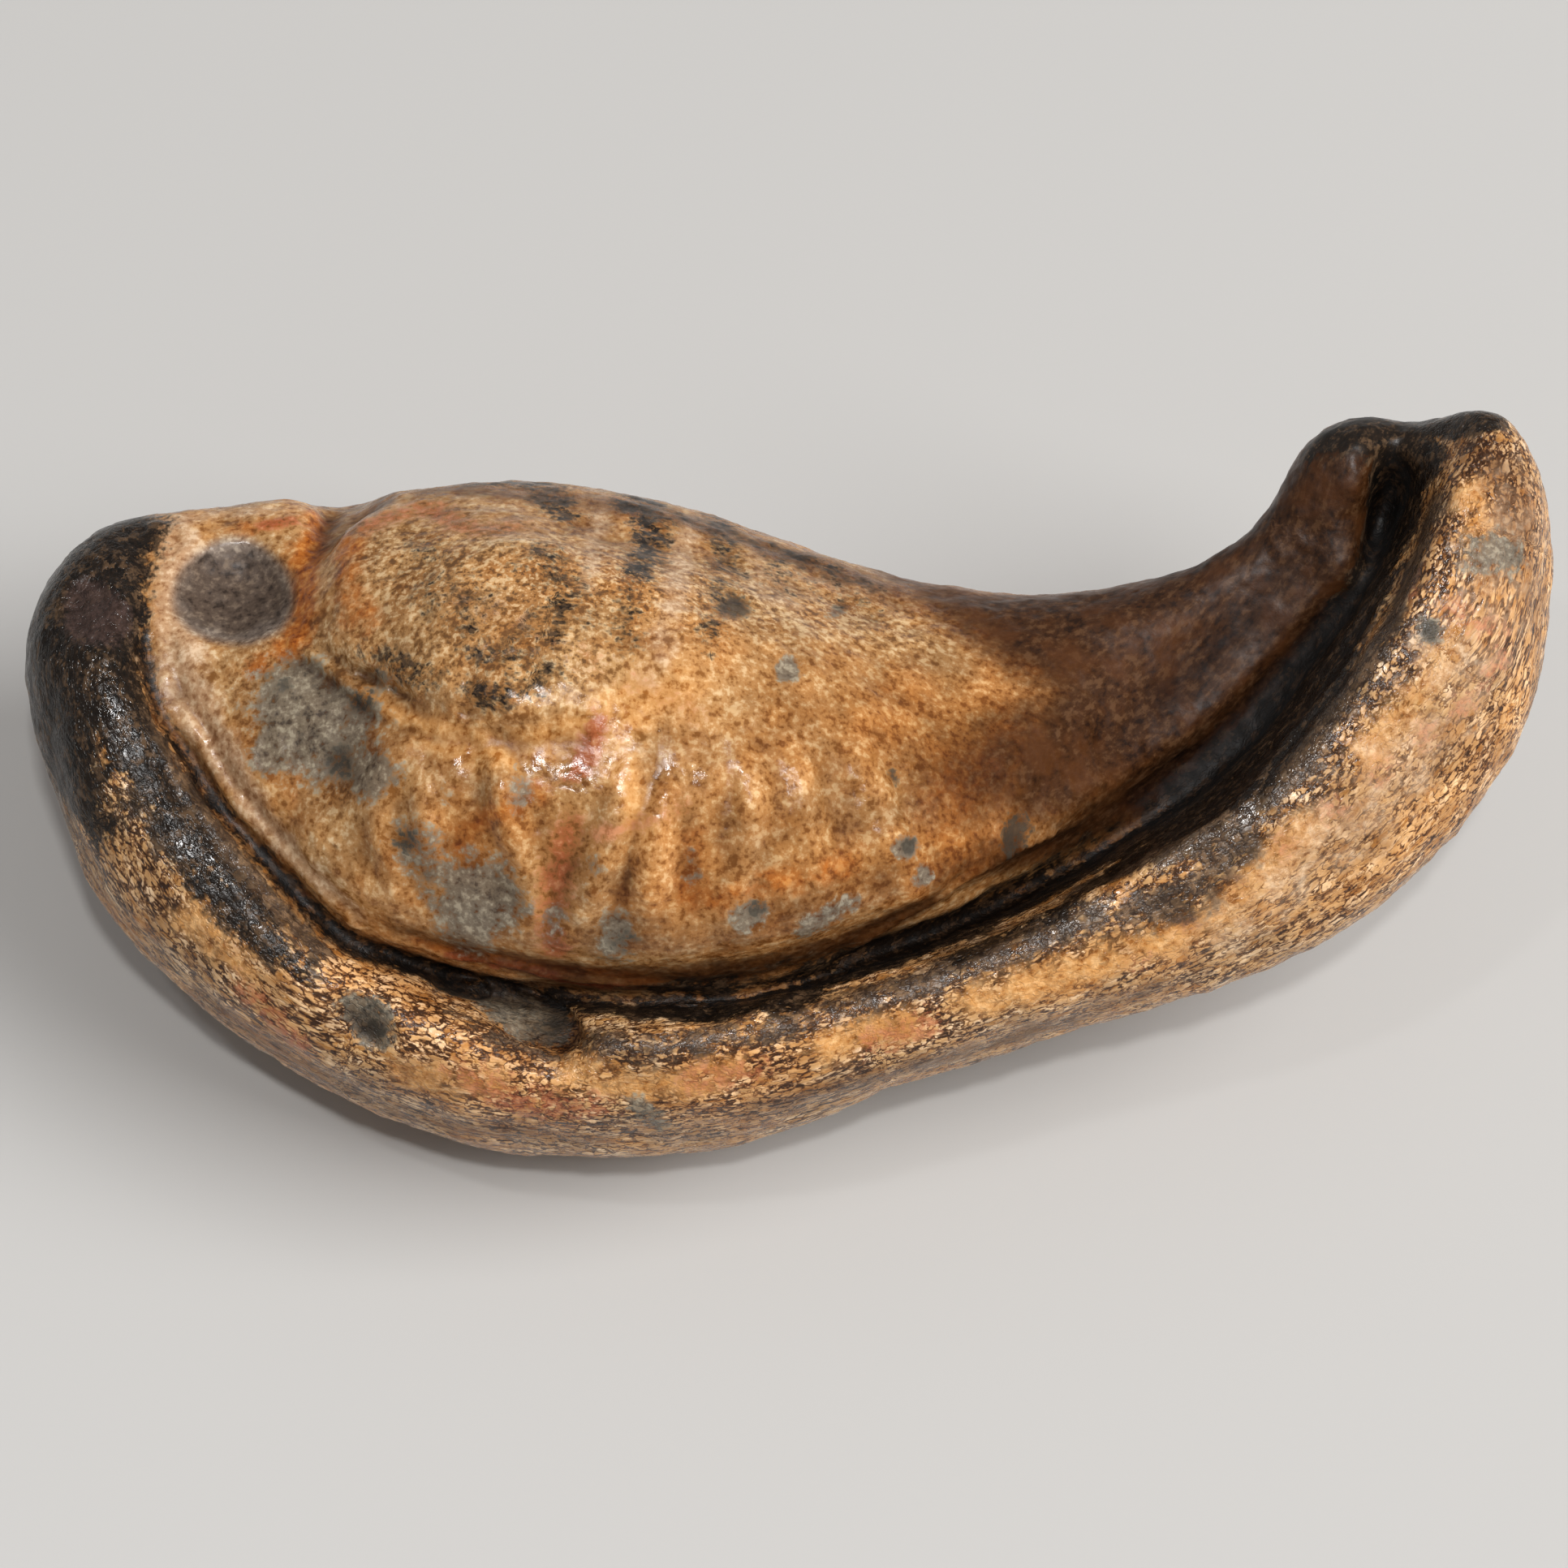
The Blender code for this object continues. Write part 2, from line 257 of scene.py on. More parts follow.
# %% Sink the groove
GROOVE = (
    (-43.9, 16.5, 1.2, 0), (-43.7, 12, 1.2, 0), (-43.5, 8, 1.2, 0), (-42.3, 4.2, 1.2, 0),
    (-40, 1.2, 1.2, -0.1), (-37.4, -2.8, 1.2, -0.1), (-34.2, -6.6, 1.2, -0.2), (-30.4, -10.2, 1.3, -0.5),
    (-26.6, -11.6, 1.4, -0.8), (-22, -13.2, 1.6, -1.1), (-17.4, -14, 1.8, -1.2), (-9, -14.4, 1.8, -1.1),
    (-0.3, -13.6, 1.6, -1.1), (4.6, -12, 1.6, -1.3), (10.1, -10.2, 1.7, -1.5), (15.6, -7.9, 1.8, -1.7),
    (21.1, -4.9, 1.9, -1.9), (26.6, -1.4, 2, -2), (31.1, 2.6, 1.9, -2), (35, 7.2, 1.7, -1.8),
    (38.4, 11.7, 1.5, -1.4), (40.2, 14.4, 1.6, -1.1), (41.2, 18.2, 2, -1.1), (41.8, 19.8, 1.8, -0.7),
)
TIP_POCKET = ((39.6, 15.6, 2.6, -0.4), (39.8, 18, 3.2, -0.9), (41.2, 20.6, 3, -0.8))
GROOVE_PASSES = 2
PASS_ROUNDS = 2
for _ in range(GROOVE_PASSES):
    skin = Skin(bone)
    skin.push(GROOVE, hardness=0.3, sunk=True)
    skin.push(TIP_POCKET, hardness=0.2, sunk=True)
    skin.keep()
    new_skin(bone, SKIN_SIZE, PASS_ROUNDS)
print("skin after the groove:", len(bone.data.vertices), "points")

# %% [markdown]
# ## Edges
#
# A worn bone still has a few edges that catch the light: the thin ledge round the flat
# plate, the dome's lower edge that overhangs the groove, and the lip's inner edge. Each
# one is a raised line with a sunk line beside it. The skin is finer here, since an edge
# is only as crisp as the squares that carry it.

# %% Raise the edges
FINE_SIZE = 0.31 * MM
LEDGE = (
    (-42.5, 17.4, 1.1, 0.15), (-42.3, 14, 1.1, 0.20), (-42.5, 11.4, 1.1, 0.20), (-42.2, 8.1, 1.1, 0.25),
    (-41.4, 5.4, 1, 0.30), (-39.4, 2.8, 0.9, 0.40), (-37.7, -0.3, 0.9, 0.40), (-35.2, -3.1, 0.9, 0.35),
    (-32, -6.4, 0.9, 0.35), (-29.2, -9.2, 0.9, 0.30),
)
LEDGE_FOOT = (
    (-43.5, 17.4, 1, -0.05), (-43.3, 14, 1, -0.05), (-43.5, 11.2, 1, -0.10), (-43.2, 7.8, 1, -0.15),
    (-42.4, 4.8, 0.9, -0.25), (-40.4, 2.1, 0.8, -0.35), (-38.7, -0.9, 0.8, -0.40), (-36.2, -3.9, 0.8, -0.40),
    (-33, -7.2, 0.8, -0.35), (-30.1, -10.1, 0.8, -0.35),
)
SECOND_LEDGE = (
    (-42.9, 3.4, 0.6, 0.15), (-41.6, 1.2, 0.6, 0.25), (-39.8, -1.5, 0.6, 0.25), (-37.2, -4.8, 0.6, 0.25),
    (-34, -8.2, 0.6, 0.20),
)
DOME_EDGE = (
    (-26.8, -10.2, 0.8, 0.15), (-24.3, -11, 0.8, 0.30), (-22, -11.7, 0.8, 0.35),
    (-19, -11.9, 0.8, 0.40), (-15.9, -12.8, 0.8, 0.40), (-12.5, -13.2, 0.8, 0.35),
    (-8.3, -13.4, 0.8, 0.30), (-4.1, -13.5, 0.8, 0.25), (-0.3, -12.8, 0.8, 0.25), (3.5, -11.6, 0.8, 0.25),
    (6.4, -9.9, 0.8, 0.30), (10.6, -7.5, 0.7, 0.30), (12.9, -6, 0.7, 0.30), (18, -3.4, 0.7, 0.20),
)
DOME_UNDERCUT = (
    (-27, -11.2, 0.8, -0.3), (-23.8, -12.5, 1, -0.8), (-19.2, -13.2, 1, -0.9),
    (-15.6, -14.1, 1, -1), (-12, -14.5, 1, -0.9), (-8, -14.7, 1, -0.8),
    (-4, -14.8, 1, -0.8), (0, -14, 1, -0.8), (4, -12.9, 1, -0.7),
)
LIP_EDGE = (
    (-3.4, -16.3, 0.9, 0.15), (0.9, -14.4, 0.9, 0.25), (4.3, -13.6, 0.9, 0.25), (10.6, -12, 1, 0.25),
    (14.8, -10.2, 1, 0.25), (18.4, -8.8, 1.1, 0.30), (22.8, -6.8, 1.1, 0.30), (26.6, -4.8, 1.1, 0.35),
    (29.9, -2.4, 1.1, 0.35), (32.2, 0.2, 1.1, 0.35), (34.6, 3.2, 1.1, 0.35), (36.8, 6, 1, 0.30),
    (39, 9.2, 1, 0.25), (40.6, 12.2, 1, 0.20),
)
new_skin(bone, FINE_SIZE, 1)
skin = Skin(bone)
for route in (LEDGE, LEDGE_FOOT, SECOND_LEDGE, DOME_EDGE, LIP_EDGE):
    skin.push(route, hardness=0.2)
skin.push(DOME_UNDERCUT, hardness=0.3, sunk=True)
skin.keep()
print("fine skin:", len(bone.data.vertices), "points")

# %% [markdown]
# ## The crease and the folds
#
# An upper lobe bulges over the dome, and a crease runs under it, with a thin pale ridge
# along the crease's lower side. From there a fan of low folds spreads down the dome.

# %% Carve the crease and the folds
CREASE = (
    (-30.6, 18.4, 1.2, -0.5), (-31.2, 17.4, 1.2, -0.45), (-31.9, 15.5, 1, -0.20), (-32.3, 13, 1, -0.10),
    (-32.2, 10.9, 1, -0.10), (-31, 9.2, 1, -0.20), (-28.9, 7.9, 0.9, -0.40), (-26.7, 6.6, 0.9, -0.45),
    (-24.6, 5.6, 1, -0.30), (-21.2, 5, 1, -0.15),
)
CREASE_FILL = (
    (-31.8, 16.2, 2.4, 0.35), (-32.2, 13, 2.6, 0.55), (-31.8, 10.4, 2.6, 0.55), (-29.4, 8.4, 2.4, 0.40),
    (-25, 6.2, 2.4, 0.40), (-21.2, 5.6, 2.8, 0.65), (-17.5, 5.4, 3, 0.75), (-13.5, 6.2, 3, 0.40),
)
CREASE_RIDGE = (
    (-33.2, 9.4, 0.8, 0.30), (-31.6, 8.4, 0.8, 0.40), (-29.6, 6.9, 0.8, 0.45), (-28.1, 5.7, 0.8, 0.45),
    (-26.4, 4.6, 0.8, 0.35), (-24, 3.8, 0.8, 0.30), (-20.5, 3.2, 0.9, 0.20),
)
FOLDS = (
    [(-27.6, -1, 1.4, 0.07), (-27.2, -4, 1.5, 0.41), (-26.2, -8, 1.4, 0.2)],
    [(-24.6, 0.6, 1.4, 0.14), (-24.2, -3, 1.6, 0.47), (-23.4, -6.5, 1.4, 0.2)],
    [(-19.8, 2.6, 1.6, 0.14), (-19, -0.5, 1.8, 0.81), (-18, -4.5, 1.8, 0.61), (-17, -8.5, 1.5, 0.27)],
    [(-10.2, 2.2, 1.6, 0.14), (-11, -1.6, 1.8, 0.61), (-12.7, -6.5, 2, 0.81), (-14.6, -10.5, 1.6, 0.41)],
    [(-7.2, 1, 1.4, 0.14), (-8.2, -2, 1.6, 0.68), (-8.9, -5.4, 1.8, 0.81), (-9.4, -10, 1.5, 0.27)],
    [(-3, 2.4, 1.4, 0.14), (-2.2, -0.6, 1.6, 0.68), (-2.8, -5.2, 1.6, 0.61), (-3.6, -9.8, 1.5, 0.27)],
    [(0.4, 2.6, 1.5, 0.2), (1.2, 0.2, 1.6, 0.61), (1.9, -3.5, 1.6, 0.41), (3.2, -8, 1.5, 0.2)],
    [(4.6, 3, 1.6, 0.14), (6, -0.4, 1.8, 0.47), (7.4, -4.2, 1.7, 0.27)],
)
skin = Skin(bone)
skin.push(CREASE_FILL)
skin.push(CREASE)
skin.push(CREASE_RIDGE, hardness=0.1)
for fold in FOLDS:
    skin.push(fold)
skin.keep()
print(len(FOLDS), "folds")

# %% [markdown]
# ## Pits and chips
#
# The largest pit is a round dish in the plate with a grainy floor. The rest are small:
# a hollow in the blunt end, ovals in the lip, pockets under the crease and a few spots
# on the dome where the surface has flaked. Each one is an oval dish with a crisp edge.

# %% Hollow the pits
# Each pit is (x, y, half length, half width, turn in degrees, depth).
PITS = {
    "round pit in the plate": (-37.1, 12.7, 4.5, 3.7, 0, 1),
    "hollow of the blunt end": (-46.7, 11.6, 3.4, 2, -52, 0.6),
    "oval pit in the lip": (-28.3, -16, 2.7, 1.4, -42, 0.7),
    "first pocket of the lip": (-4.7, -15.7, 1.4, 0.7, 15, 0.6),
    "second pocket of the lip": (-7.6, -15.4, 1.2, 0.6, 0, 0.5),
    "first pocket of the crease": (-28.1, 7.3, 1.2, 0.6, -32, 0.5),
    "second pocket of the crease": (-26, 6.4, 1.1, 0.7, -28, 0.6),
    "third pocket of the crease": (-20.8, 5, 1.8, 0.7, -6, 0.4),
    "worn patch of the plate": (-31.7, 3.6, 4.8, 4.6, 0, 0.3),
    "dark flake": (-3.3, 12.1, 1.4, 1.2, 20, 0.2),
    "grey flake": (0.2, 7.7, 1.3, 0.7, 60, 0.2),
    "flake by the neck": (15.6, -3.6, 0.9, 1.7, 0, 0.3),
    "small flake": (8.2, -4.3, 0.7, 0.6, 0, 0.25),
}
CHIPS = {
    "chip in the lip": (-17.4, -15.7, 4.4, 1.9, -24, 1.9),
    "chip over it": (-22.6, -13.2, 3, 1.2, -24, 0.9),
    "small chip of the lip": (-6.6, -15.6, 2.2, 0.9, 8, 0.8),
}
skin = Skin(bone)
for pit in PITS.values():
    skin.dish(*pit)
for chip in CHIPS.values():
    skin.chip(*chip)
skin.keep()
print(len(PITS), "pits and", len(CHIPS), "chips")

# %% [markdown]
# ## Wear
#
# Nothing that lay in the sea for ages is quite even. Three layers of a cloud pattern
# dent the skin, from broad to fine. Then the skin is thinned where it is nearly flat,
# so that the many small triangles are kept for the edges.

# %% Make the surface uneven
MOST_TRIANGLES = 190_000
# Each layer is (name, size of its lumps, height of its lumps), in millimetres.
DENTS = (("broad dents", 4.5, 0.40), ("lumps", 1.8, 0.20), ("grit", 0.8, 0.12))
for name, size, height in DENTS:
    clouds = bpy.data.textures.new(name, "CLOUDS")
    clouds.noise_scale = size * MM
    clouds.noise_depth = 1
    run_modifier(bone, "DISPLACE", texture=clouds, texture_coords="LOCAL",
                 strength=height * MM, mid_level=0.5)
run_modifier(bone, "TRIANGULATE")
run_modifier(bone, "DECIMATE", ratio=min(1, MOST_TRIANGLES / len(bone.data.polygons)))
bone.data.shade_smooth()
print("finished skin:", len(bone.data.polygons), "triangles")

# %% [markdown]
# ## Where each stain lies
#
# The colours of a fossil come from the mud and the minerals round it, so they lie in
# patches: black in the groove and on the blunt end, red-brown on the horn, grey where
# the skin has flaked. The red-brown layer also carries painted shade. The patches are
# painted on the bone with the same strokes that carved it, one layer of paint for each
# stain. A layer only says how much of its stain there is. The material decides later
# what the stain looks like and how ragged it is.

# %% Get the paint ready
BROAD_WOBBLE, FINE_WOBBLE = 0.08, 0.05
skin = Skin(bone)
layers = {}


def paint(layer, routes, hardness=0.0):
    """Brushes a layer along routes whose rows are (x, y, reach, strength)."""
    amount = layers.setdefault(layer, np.zeros(len(skin.places)))
    for route in routes:
        near, feel, value = skin.nearness(route, hardness)
        amount[near] = np.maximum(amount[near], feel * value)


def dab(layer, ovals, hardness=0.2):
    """Dabs a layer in ovals, each (x, y, half length, half width, turn, strength)."""
    amount = layers.setdefault(layer, np.zeros(len(skin.places)))
    for x, y, long, wide, turn, strength in ovals:
        away = skin.places - skin.spot(x, y)
        angle = np.arctan2(away[:, 1], away[:, 0])
        wobble = 1 + BROAD_WOBBLE * np.sin(2 * angle + x) + FINE_WOBBLE * np.sin(3 * angle + y)
        apart = skin.oval(x, y, long, wide, turn)[0] * wobble
        rim = np.clip((apart - hardness) / (1 - hardness), 0, 1)
        np.maximum(amount, strength * (1 - rim**2) ** 2, out=amount)


print("points to paint:", len(skin.places))

# %% [markdown]
# The black stain is the strongest mark. It is most likely manganese, which settles where
# water stands: on the blunt end, down the groove, and in grains on top of the dome. Its
# routes follow what one sees from the camera. The lip's steep inner wall can't be seen
# well from there, so a wide stroke covers it, and later only its steep part is kept.

# %% Paint the black stain
paint("stain", [
    # the blunt end
    [(-46.5, 19, 6, 1.8), (-49, 14, 8, 2.2), (-50, 8, 8, 2.2), (-49.2, 3, 6.5, 1.7),
     (-47, -2, 4.6, 0.9)],
    [(-45.4, 18, 3.4, 1.6), (-45.6, 12, 3.4, 1.8), (-45.6, 7, 3.6, 1.6), (-44.8, 2.5, 3.2, 1.2)],
    # the band along the lip's inner edge
    [(-43.8, 2.5, 3.2, 0.9), (-41.9, -1.5, 3.1, 1), (-39.6, -5.2, 2.9, 1), (-36.8, -8.6, 2.7, 0.95),
     (-34.6, -11, 2.3, 0.85), (-31.8, -13.2, 1.8, 0.55)],
    # the groove, from the blunt end to the tip
    [(-43.6, 17, 1.3, 0.8), (-43.5, 10, 1.3, 0.8), (-42.4, 4.6, 1.2, 0.7), (-38.8, -1, 1.4, 0.75),
     (-34, -6.6, 1.6, 0.85), (-30, -10.4, 1.8, 0.95), (-26.7, -11.9, 2, 1), (-23, -13.2, 2.2, 1),
     (-18, -14, 1.6, 0.85), (-12.2, -15.2, 2, 1.1), (-8, -15.4, 3.2, 1.5), (-3, -15, 3.2, 1.5),
     (2, -13.8, 3.2, 1.4), (6, -12.2, 3, 1.3), (10, -10.6, 3, 1.2), (18, -7.2, 3.2, 1.2),
     (26, -2.3, 3.4, 1.2), (31, 2.2, 3.1, 1.2), (35, 7.2, 2.6, 1.2), (38.4, 12, 2.3, 1.2),
     (40.5, 15.5, 2.8, 1.2), (41.2, 18.5, 3.4, 1.2), (42, 21.5, 4.4, 1.2), (42.6, 24.5, 6.2, 1.2),
     (43, 26, 7, 1.2)],
    # the lip's inner wall
    [(12, -11.4, 2, 0.9), (18, -8.8, 2.2, 1), (24, -4.8, 2.4, 1.2), (28.6, -2.4, 2.6, 1.3),
     (32, 0.2, 2.6, 1.3), (34.8, 3.2, 2.6, 1.3), (37.4, 7.2, 2.5, 1.3), (39.6, 11.6, 2.5, 1.3),
     (41.4, 15.6, 2.6, 1.3), (42.6, 18.6, 2.8, 1.3)],
    # the black tip
    [(35.4, 22.4, 2, 0.8), (37, 23.8, 3, 1.7), (39.2, 24.4, 3.8, 2.2), (42, 24.6, 5.2, 2.2),
     (45, 25.2, 4.4, 2), (47.4, 24.9, 2.8, 1.5)],
    [(40.2, 15.8, 1.8, 0.9), (40.4, 18.6, 2.6, 1.7), (40.8, 21, 3.2, 2.2), (43.2, 21.6, 3.2, 2)],
    # grains in the upper lobe and on the top of the dome
    [(-10.4, 21.2, 3.2, 0.75), (-9.4, 19, 3, 0.8), (-9, 16.4, 2.6, 0.75), (-10.4, 13.4, 2.2, 0.65),
     (-10.8, 9.4, 2, 0.45)],
    [(-5.4, 20.2, 3, 0.6), (-4.4, 17.6, 2.4, 0.65), (-3.9, 15, 2.4, 0.6), (-5, 9.6, 2.4, 0.45)],
    [(-21.4, 20.4, 2.8, 0.6), (-16.8, 20.2, 3.4, 0.66), (-14.8, 18.2, 2.8, 0.6)],
    [(0, 18.6, 3.4, 0.5), (6, 16.4, 3, 0.5)],
    [(-16.6, 15.4, 4.4, 0.48), (-14.6, 12.4, 3.4, 0.60), (-16.4, 10.2, 3.6, 0.55), (-19.4, 8.4, 3.4, 0.5)],
    [(-24, 15.5, 4.4, 0.40), (-21, 10.5, 4, 0.45)],
    [(-28.4, 9.4, 1.8, 0.5), (-25.8, 7.6, 2, 0.7), (-23.4, 7.4, 1.8, 0.6)],
    [(-21, 6.4, 2, 0.62), (-18.4, 6.2, 2, 0.60), (-15.8, 7.4, 2, 0.62)],
    [(0, 13.6, 4, 0.40), (6, 12, 3, 0.35)],
])

# the steep wall between the groove and the lip
paint("wall", [
    [(-9, -15, 3, 1.2), (0, -13.8, 5, 1.8), (10, -10.4, 6, 1.9), (20, -5.6, 7, 2),
     (28.5, -0.8, 7.5, 2), (34, 4.4, 7.5, 2), (38, 10.4, 7, 2), (41, 16, 6, 2)],
])

print("black points:", int((layers["stain"] > 0.5).sum()))

# %% [markdown]
# Beside the groove the stain thins out into brown smudges, through which the grains of
# the lip still show.

# %% Paint the smudges on the lip
paint("smudge", [
    [(-47, 19, 9, 1), (-49.6, 13, 12, 1.2), (-50.4, 7, 12, 1.2), (-49.6, 1, 9, 0.9)],
    [(-43.6, 5.4, 2, 1.1), (-42.2, 2.4, 2.2, 1.3), (-40.4, -1, 2.4, 1.4), (-38, -4.2, 2.4, 1.4),
     (-35, -7.8, 2.4, 1.3), (-31.6, -11.2, 2, 1)],
    [(-13, -17.4, 2.2, 0.75), (-9.6, -18.2, 2, 0.6), (-6, -17.2, 2.4, 0.8), (0, -16, 2.4, 0.8),
     (6, -14.2, 2.4, 0.85), (12, -12.2, 2.4, 0.9), (18, -9.9, 2.4, 0.95), (21.5, -8.4, 2.2, 0.9)],
    [(22.5, -9, 2.2, 0.7), (25.5, -8.4, 2.8, 0.9), (28.4, -6.8, 3, 0.95), (31, -4, 2.6, 0.9)],
    [(20.4, -7, 2.6, 1.2), (24.4, -5.2, 2.8, 1.4), (27.4, -3.6, 2.8, 1.5), (30.4, -2, 2.8, 1.5),
     (34.2, 1.4, 2.6, 1.4), (36.9, 4.9, 2.6, 1.3), (38.9, 7.6, 2.4, 1.2), (41.2, 11.1, 2.4, 1.1),
     (42.8, 15, 2.6, 1.2), (44, 18.6, 2.6, 1)],
    [(-43.4, -0.5, 2.8, 0.9), (-40.6, -4.4, 2.8, 1.1), (-37.6, -8, 2.6, 1), (-34.4, -11.2, 2.2, 0.8)],
    [(-22.4, -15.4, 1.4, 0.6), (-19, -17.4, 1.4, 0.6), (-15.4, -18.8, 1.6, 0.7)],
])

print("smudged points:", int((layers["smudge"] > 0.5).sum()))

# %% [markdown]
# Iron gives the warm colours. It is dark red-brown, here called umber, where the horn's
# skin is dense. The umber layer also carries painted shade: on the neck where the horn
# shades it, along the top of the crest, under the dome's lower edge, and on the lip's
# upper right and lower edge. It is ochre over the dome, rusty red in the folds, orange
# beside the cracks, and amber where the light shines a little way into the bone.

# %% Paint the red-brown with its painted shade, the rust and the warm ochre
# the red-brown layer: red-brown colour, and painted shade on the neck, the crest top, under the dome's lower
# edge and on the lip's edges
paint("umber_and_shade", [
    [(7, 14.4, 4.5, 0.5), (12, 12.4, 6, 0.9), (18, 11, 9, 1.3), (25, 10.5, 10, 1.7),
     (31, 13, 10, 1.7), (35.5, 19, 8, 1.2), (38, 23.5, 7, 1.1)],
    [(10.5, 0, 6, 0.5), (15.5, 1, 7, 0.9), (20, 2, 8, 1.3), (26, 5, 9, 1.7), (32, 9, 8, 1.7),
     (36.5, 15, 7, 1.5), (39, 20, 5, 1.3)],
    [(-24, -8.6, 3, 0.30), (-16, -10, 3.4, 0.40), (-8, -10.6, 3.8, 0.45), (0, -9.4, 3.8, 0.45),
     (7, -6.8, 3.6, 0.45)],
    [(45, 24, 3, 0.4), (48.4, 21.4, 3.6, 0.45), (50, 17, 3.4, 0.40), (50.4, 12, 3, 0.3)],
    [(-39, -15, 4, 0.35), (-33, -19, 4, 0.40), (-25, -22.6, 3.6, 0.35), (-14, -24, 3, 0.35)],
    [(-2, -22, 3, 0.4), (8, -19.4, 3.2, 0.45), (18, -16.4, 3, 0.4), (28, -13, 2.8, 0.3)],
    [(10, -6.4, 3, 0.5), (17, -4.4, 3.6, 1), (24, -0.6, 3, 1.2), (30, 4.4, 2.6, 1.2)],
    [(-28, 19.4, 3, 0.5), (-18, 21.2, 3.4, 0.5), (-8, 20.4, 3.6, 0.5), (2, 17.8, 3.8, 0.55),
     (10, 14.8, 4, 0.6)],
    [(-26, -9.8, 2.4, 0.5), (-19, -11.8, 3, 0.65), (-12, -13, 3.4, 0.8), (-4, -12.8, 3.6, 0.85),
     (3, -11.2, 3.6, 0.85), (9, -8.4, 3.6, 0.8)],
])
paint("ochre", [
    [(2, 4, 11, 0.6), (9, 3, 11, 0.9), (14, 3, 8, 1)],
    [(-4, -3, 9, 0.6), (4, -5, 8, 0.8), (12, -4, 6, 1)],
    [(-22, -4, 4, 0.7), (-16, -3, 4, 0.7), (-9, -7, 4, 0.6)],
])
paint("rust", [
    [(-12.6, 4.2, 1.2, 1), (-13.6, 1.6, 1.6, 1.1), (-14.8, 0.4, 1.2, 0.8)],
    [(-22.6, -11.7, 0.9, 1.1), (-18, -12.6, 1, 1.2), (-14, -13.5, 1, 1.2), (-10, -13.8, 0.9, 0.8)],
    [(-14.4, -2.6, 1.8, 0.6), (-15.2, -5.2, 2.2, 0.75), (-15.8, -8.4, 2.2, 0.65), (-15.4, -11.4, 2, 0.8)],
    [(-12.6, -3.4, 1.4, 0.5), (-6.4, -1.6, 1.2, 0.4)],
    [(-35.2, 17.6, 1.3, 0.8), (-33.4, 17.8, 1.3, 0.8)],
    [(-28.4, 17.6, 2.4, 0.6), (-24.5, 18.6, 2.4, 0.6), (-20.5, 17.2, 2.4, 0.5), (-18, 17.6, 2.4, 0.4)],
    [(-22, 12.6, 2.4, 0.35), (-6, 5, 2, 0.3)],
    [(42.9, 14.4, 0.9, 0.7), (42.4, 12.6, 0.9, 0.6)],
    [(-37, -13.6, 2, 0.5), (-33, -17.6, 2.6, 0.6)],
    [(-22, -19.6, 2.4, 0.5), (-18, -21.6, 3, 0.6), (-12, -22, 2.4, 0.5)],
    [(-6, -20, 2.4, 0.55), (-2, -19.4, 2.4, 0.5)],
    [(6, -17.6, 2.4, 0.6), (10, -16, 2.2, 0.5)],
    [(24, -12, 2, 0.45), (47.6, 7, 2.2, 0.4), (45.4, 12, 1.8, 0.5)],
])
paint("orange", [
    [(-31.6, 18, 1.8, 0.9), (-32.4, 14.6, 2.2, 1.1), (-32.6, 11.4, 2.4, 1.1), (-33.6, 9.2, 2, 0.9),
     (-36, 8, 1.6, 0.7)],
    [(-29.6, 16.6, 2.4, 0.8), (-29.4, 13, 2.4, 0.7), (-28, 9.6, 2, 0.5)],
    [(-34.6, 17.6, 1.6, 0.8), (-38, 17.6, 1.4, 0.5)],
    [(-16.6, -0.6, 1.8, 0.7), (-21.6, -3.4, 1.6, 0.7), (-21.4, -6, 1.6, 0.6)],
    [(-6.2, -3.6, 1.6, 0.6), (-5.8, -8, 1.8, 0.7), (-0.2, -6.6, 1.8, 0.6), (4.4, -5.4, 2.2, 0.6)],
    [(10.4, -1.6, 3.4, 0.5), (13.6, 1, 4, 0.5)],
    [(-9, -13.4, 1.2, 0.9), (-12, -12.8, 1.2, 1.2), (-16.5, -12.4, 1.1, 1.3), (-21, -11.5, 1, 1.2),
     (-25, -10.6, 0.9, 0.8)],
])
paint("amber", [
    [(-28.4, 6.3, 1.3, 0.8), (-25, 4.2, 1.6, 0.9), (-21, 2.4, 2.6, 0.9), (-16.5, 2.6, 3, 0.9),
     (-11.5, 4.2, 3.6, 0.9), (-7, 7, 3.4, 0.6)],
    [(-11, 1, 2.6, 0.9), (-9.6, -2.5, 2, 0.7), (-9.2, -6, 1.4, 0.4)],
    [(-40, -9, 3, 0.6), (-36.6, -12.6, 2.4, 0.7)],
    [(-25.6, -19.8, 2.6, 0.7), (-20, -20.4, 2.4, 0.6)],
    [(-14.4, -19.4, 2.6, 0.7), (-8, -20.6, 2.4, 0.7), (-3.6, -19.2, 2.4, 0.7)],
    [(3, -17.8, 2.6, 0.8), (8, -16.4, 2.6, 0.8)],
    [(13, -14.6, 3, 0.7), (20, -12.6, 3, 0.8), (28, -9.6, 2.8, 0.8), (35.4, -3.4, 3, 0.8)],
    [(40, 2.6, 3, 0.8), (43.4, 6.6, 2.4, 0.7), (45.4, 9.4, 2, 0.6)],
    [(46.6, 19.6, 2.4, 0.8), (47.6, 13, 1.8, 0.5)],
])

print("warm layers:", [name for name in layers if name not in ("stain", "wall", "smudge")])

# %% [markdown]
# Edges and high places are rubbed pale. Where the skin has flaked off, a grey stone
# shows that filled the bone from inside.

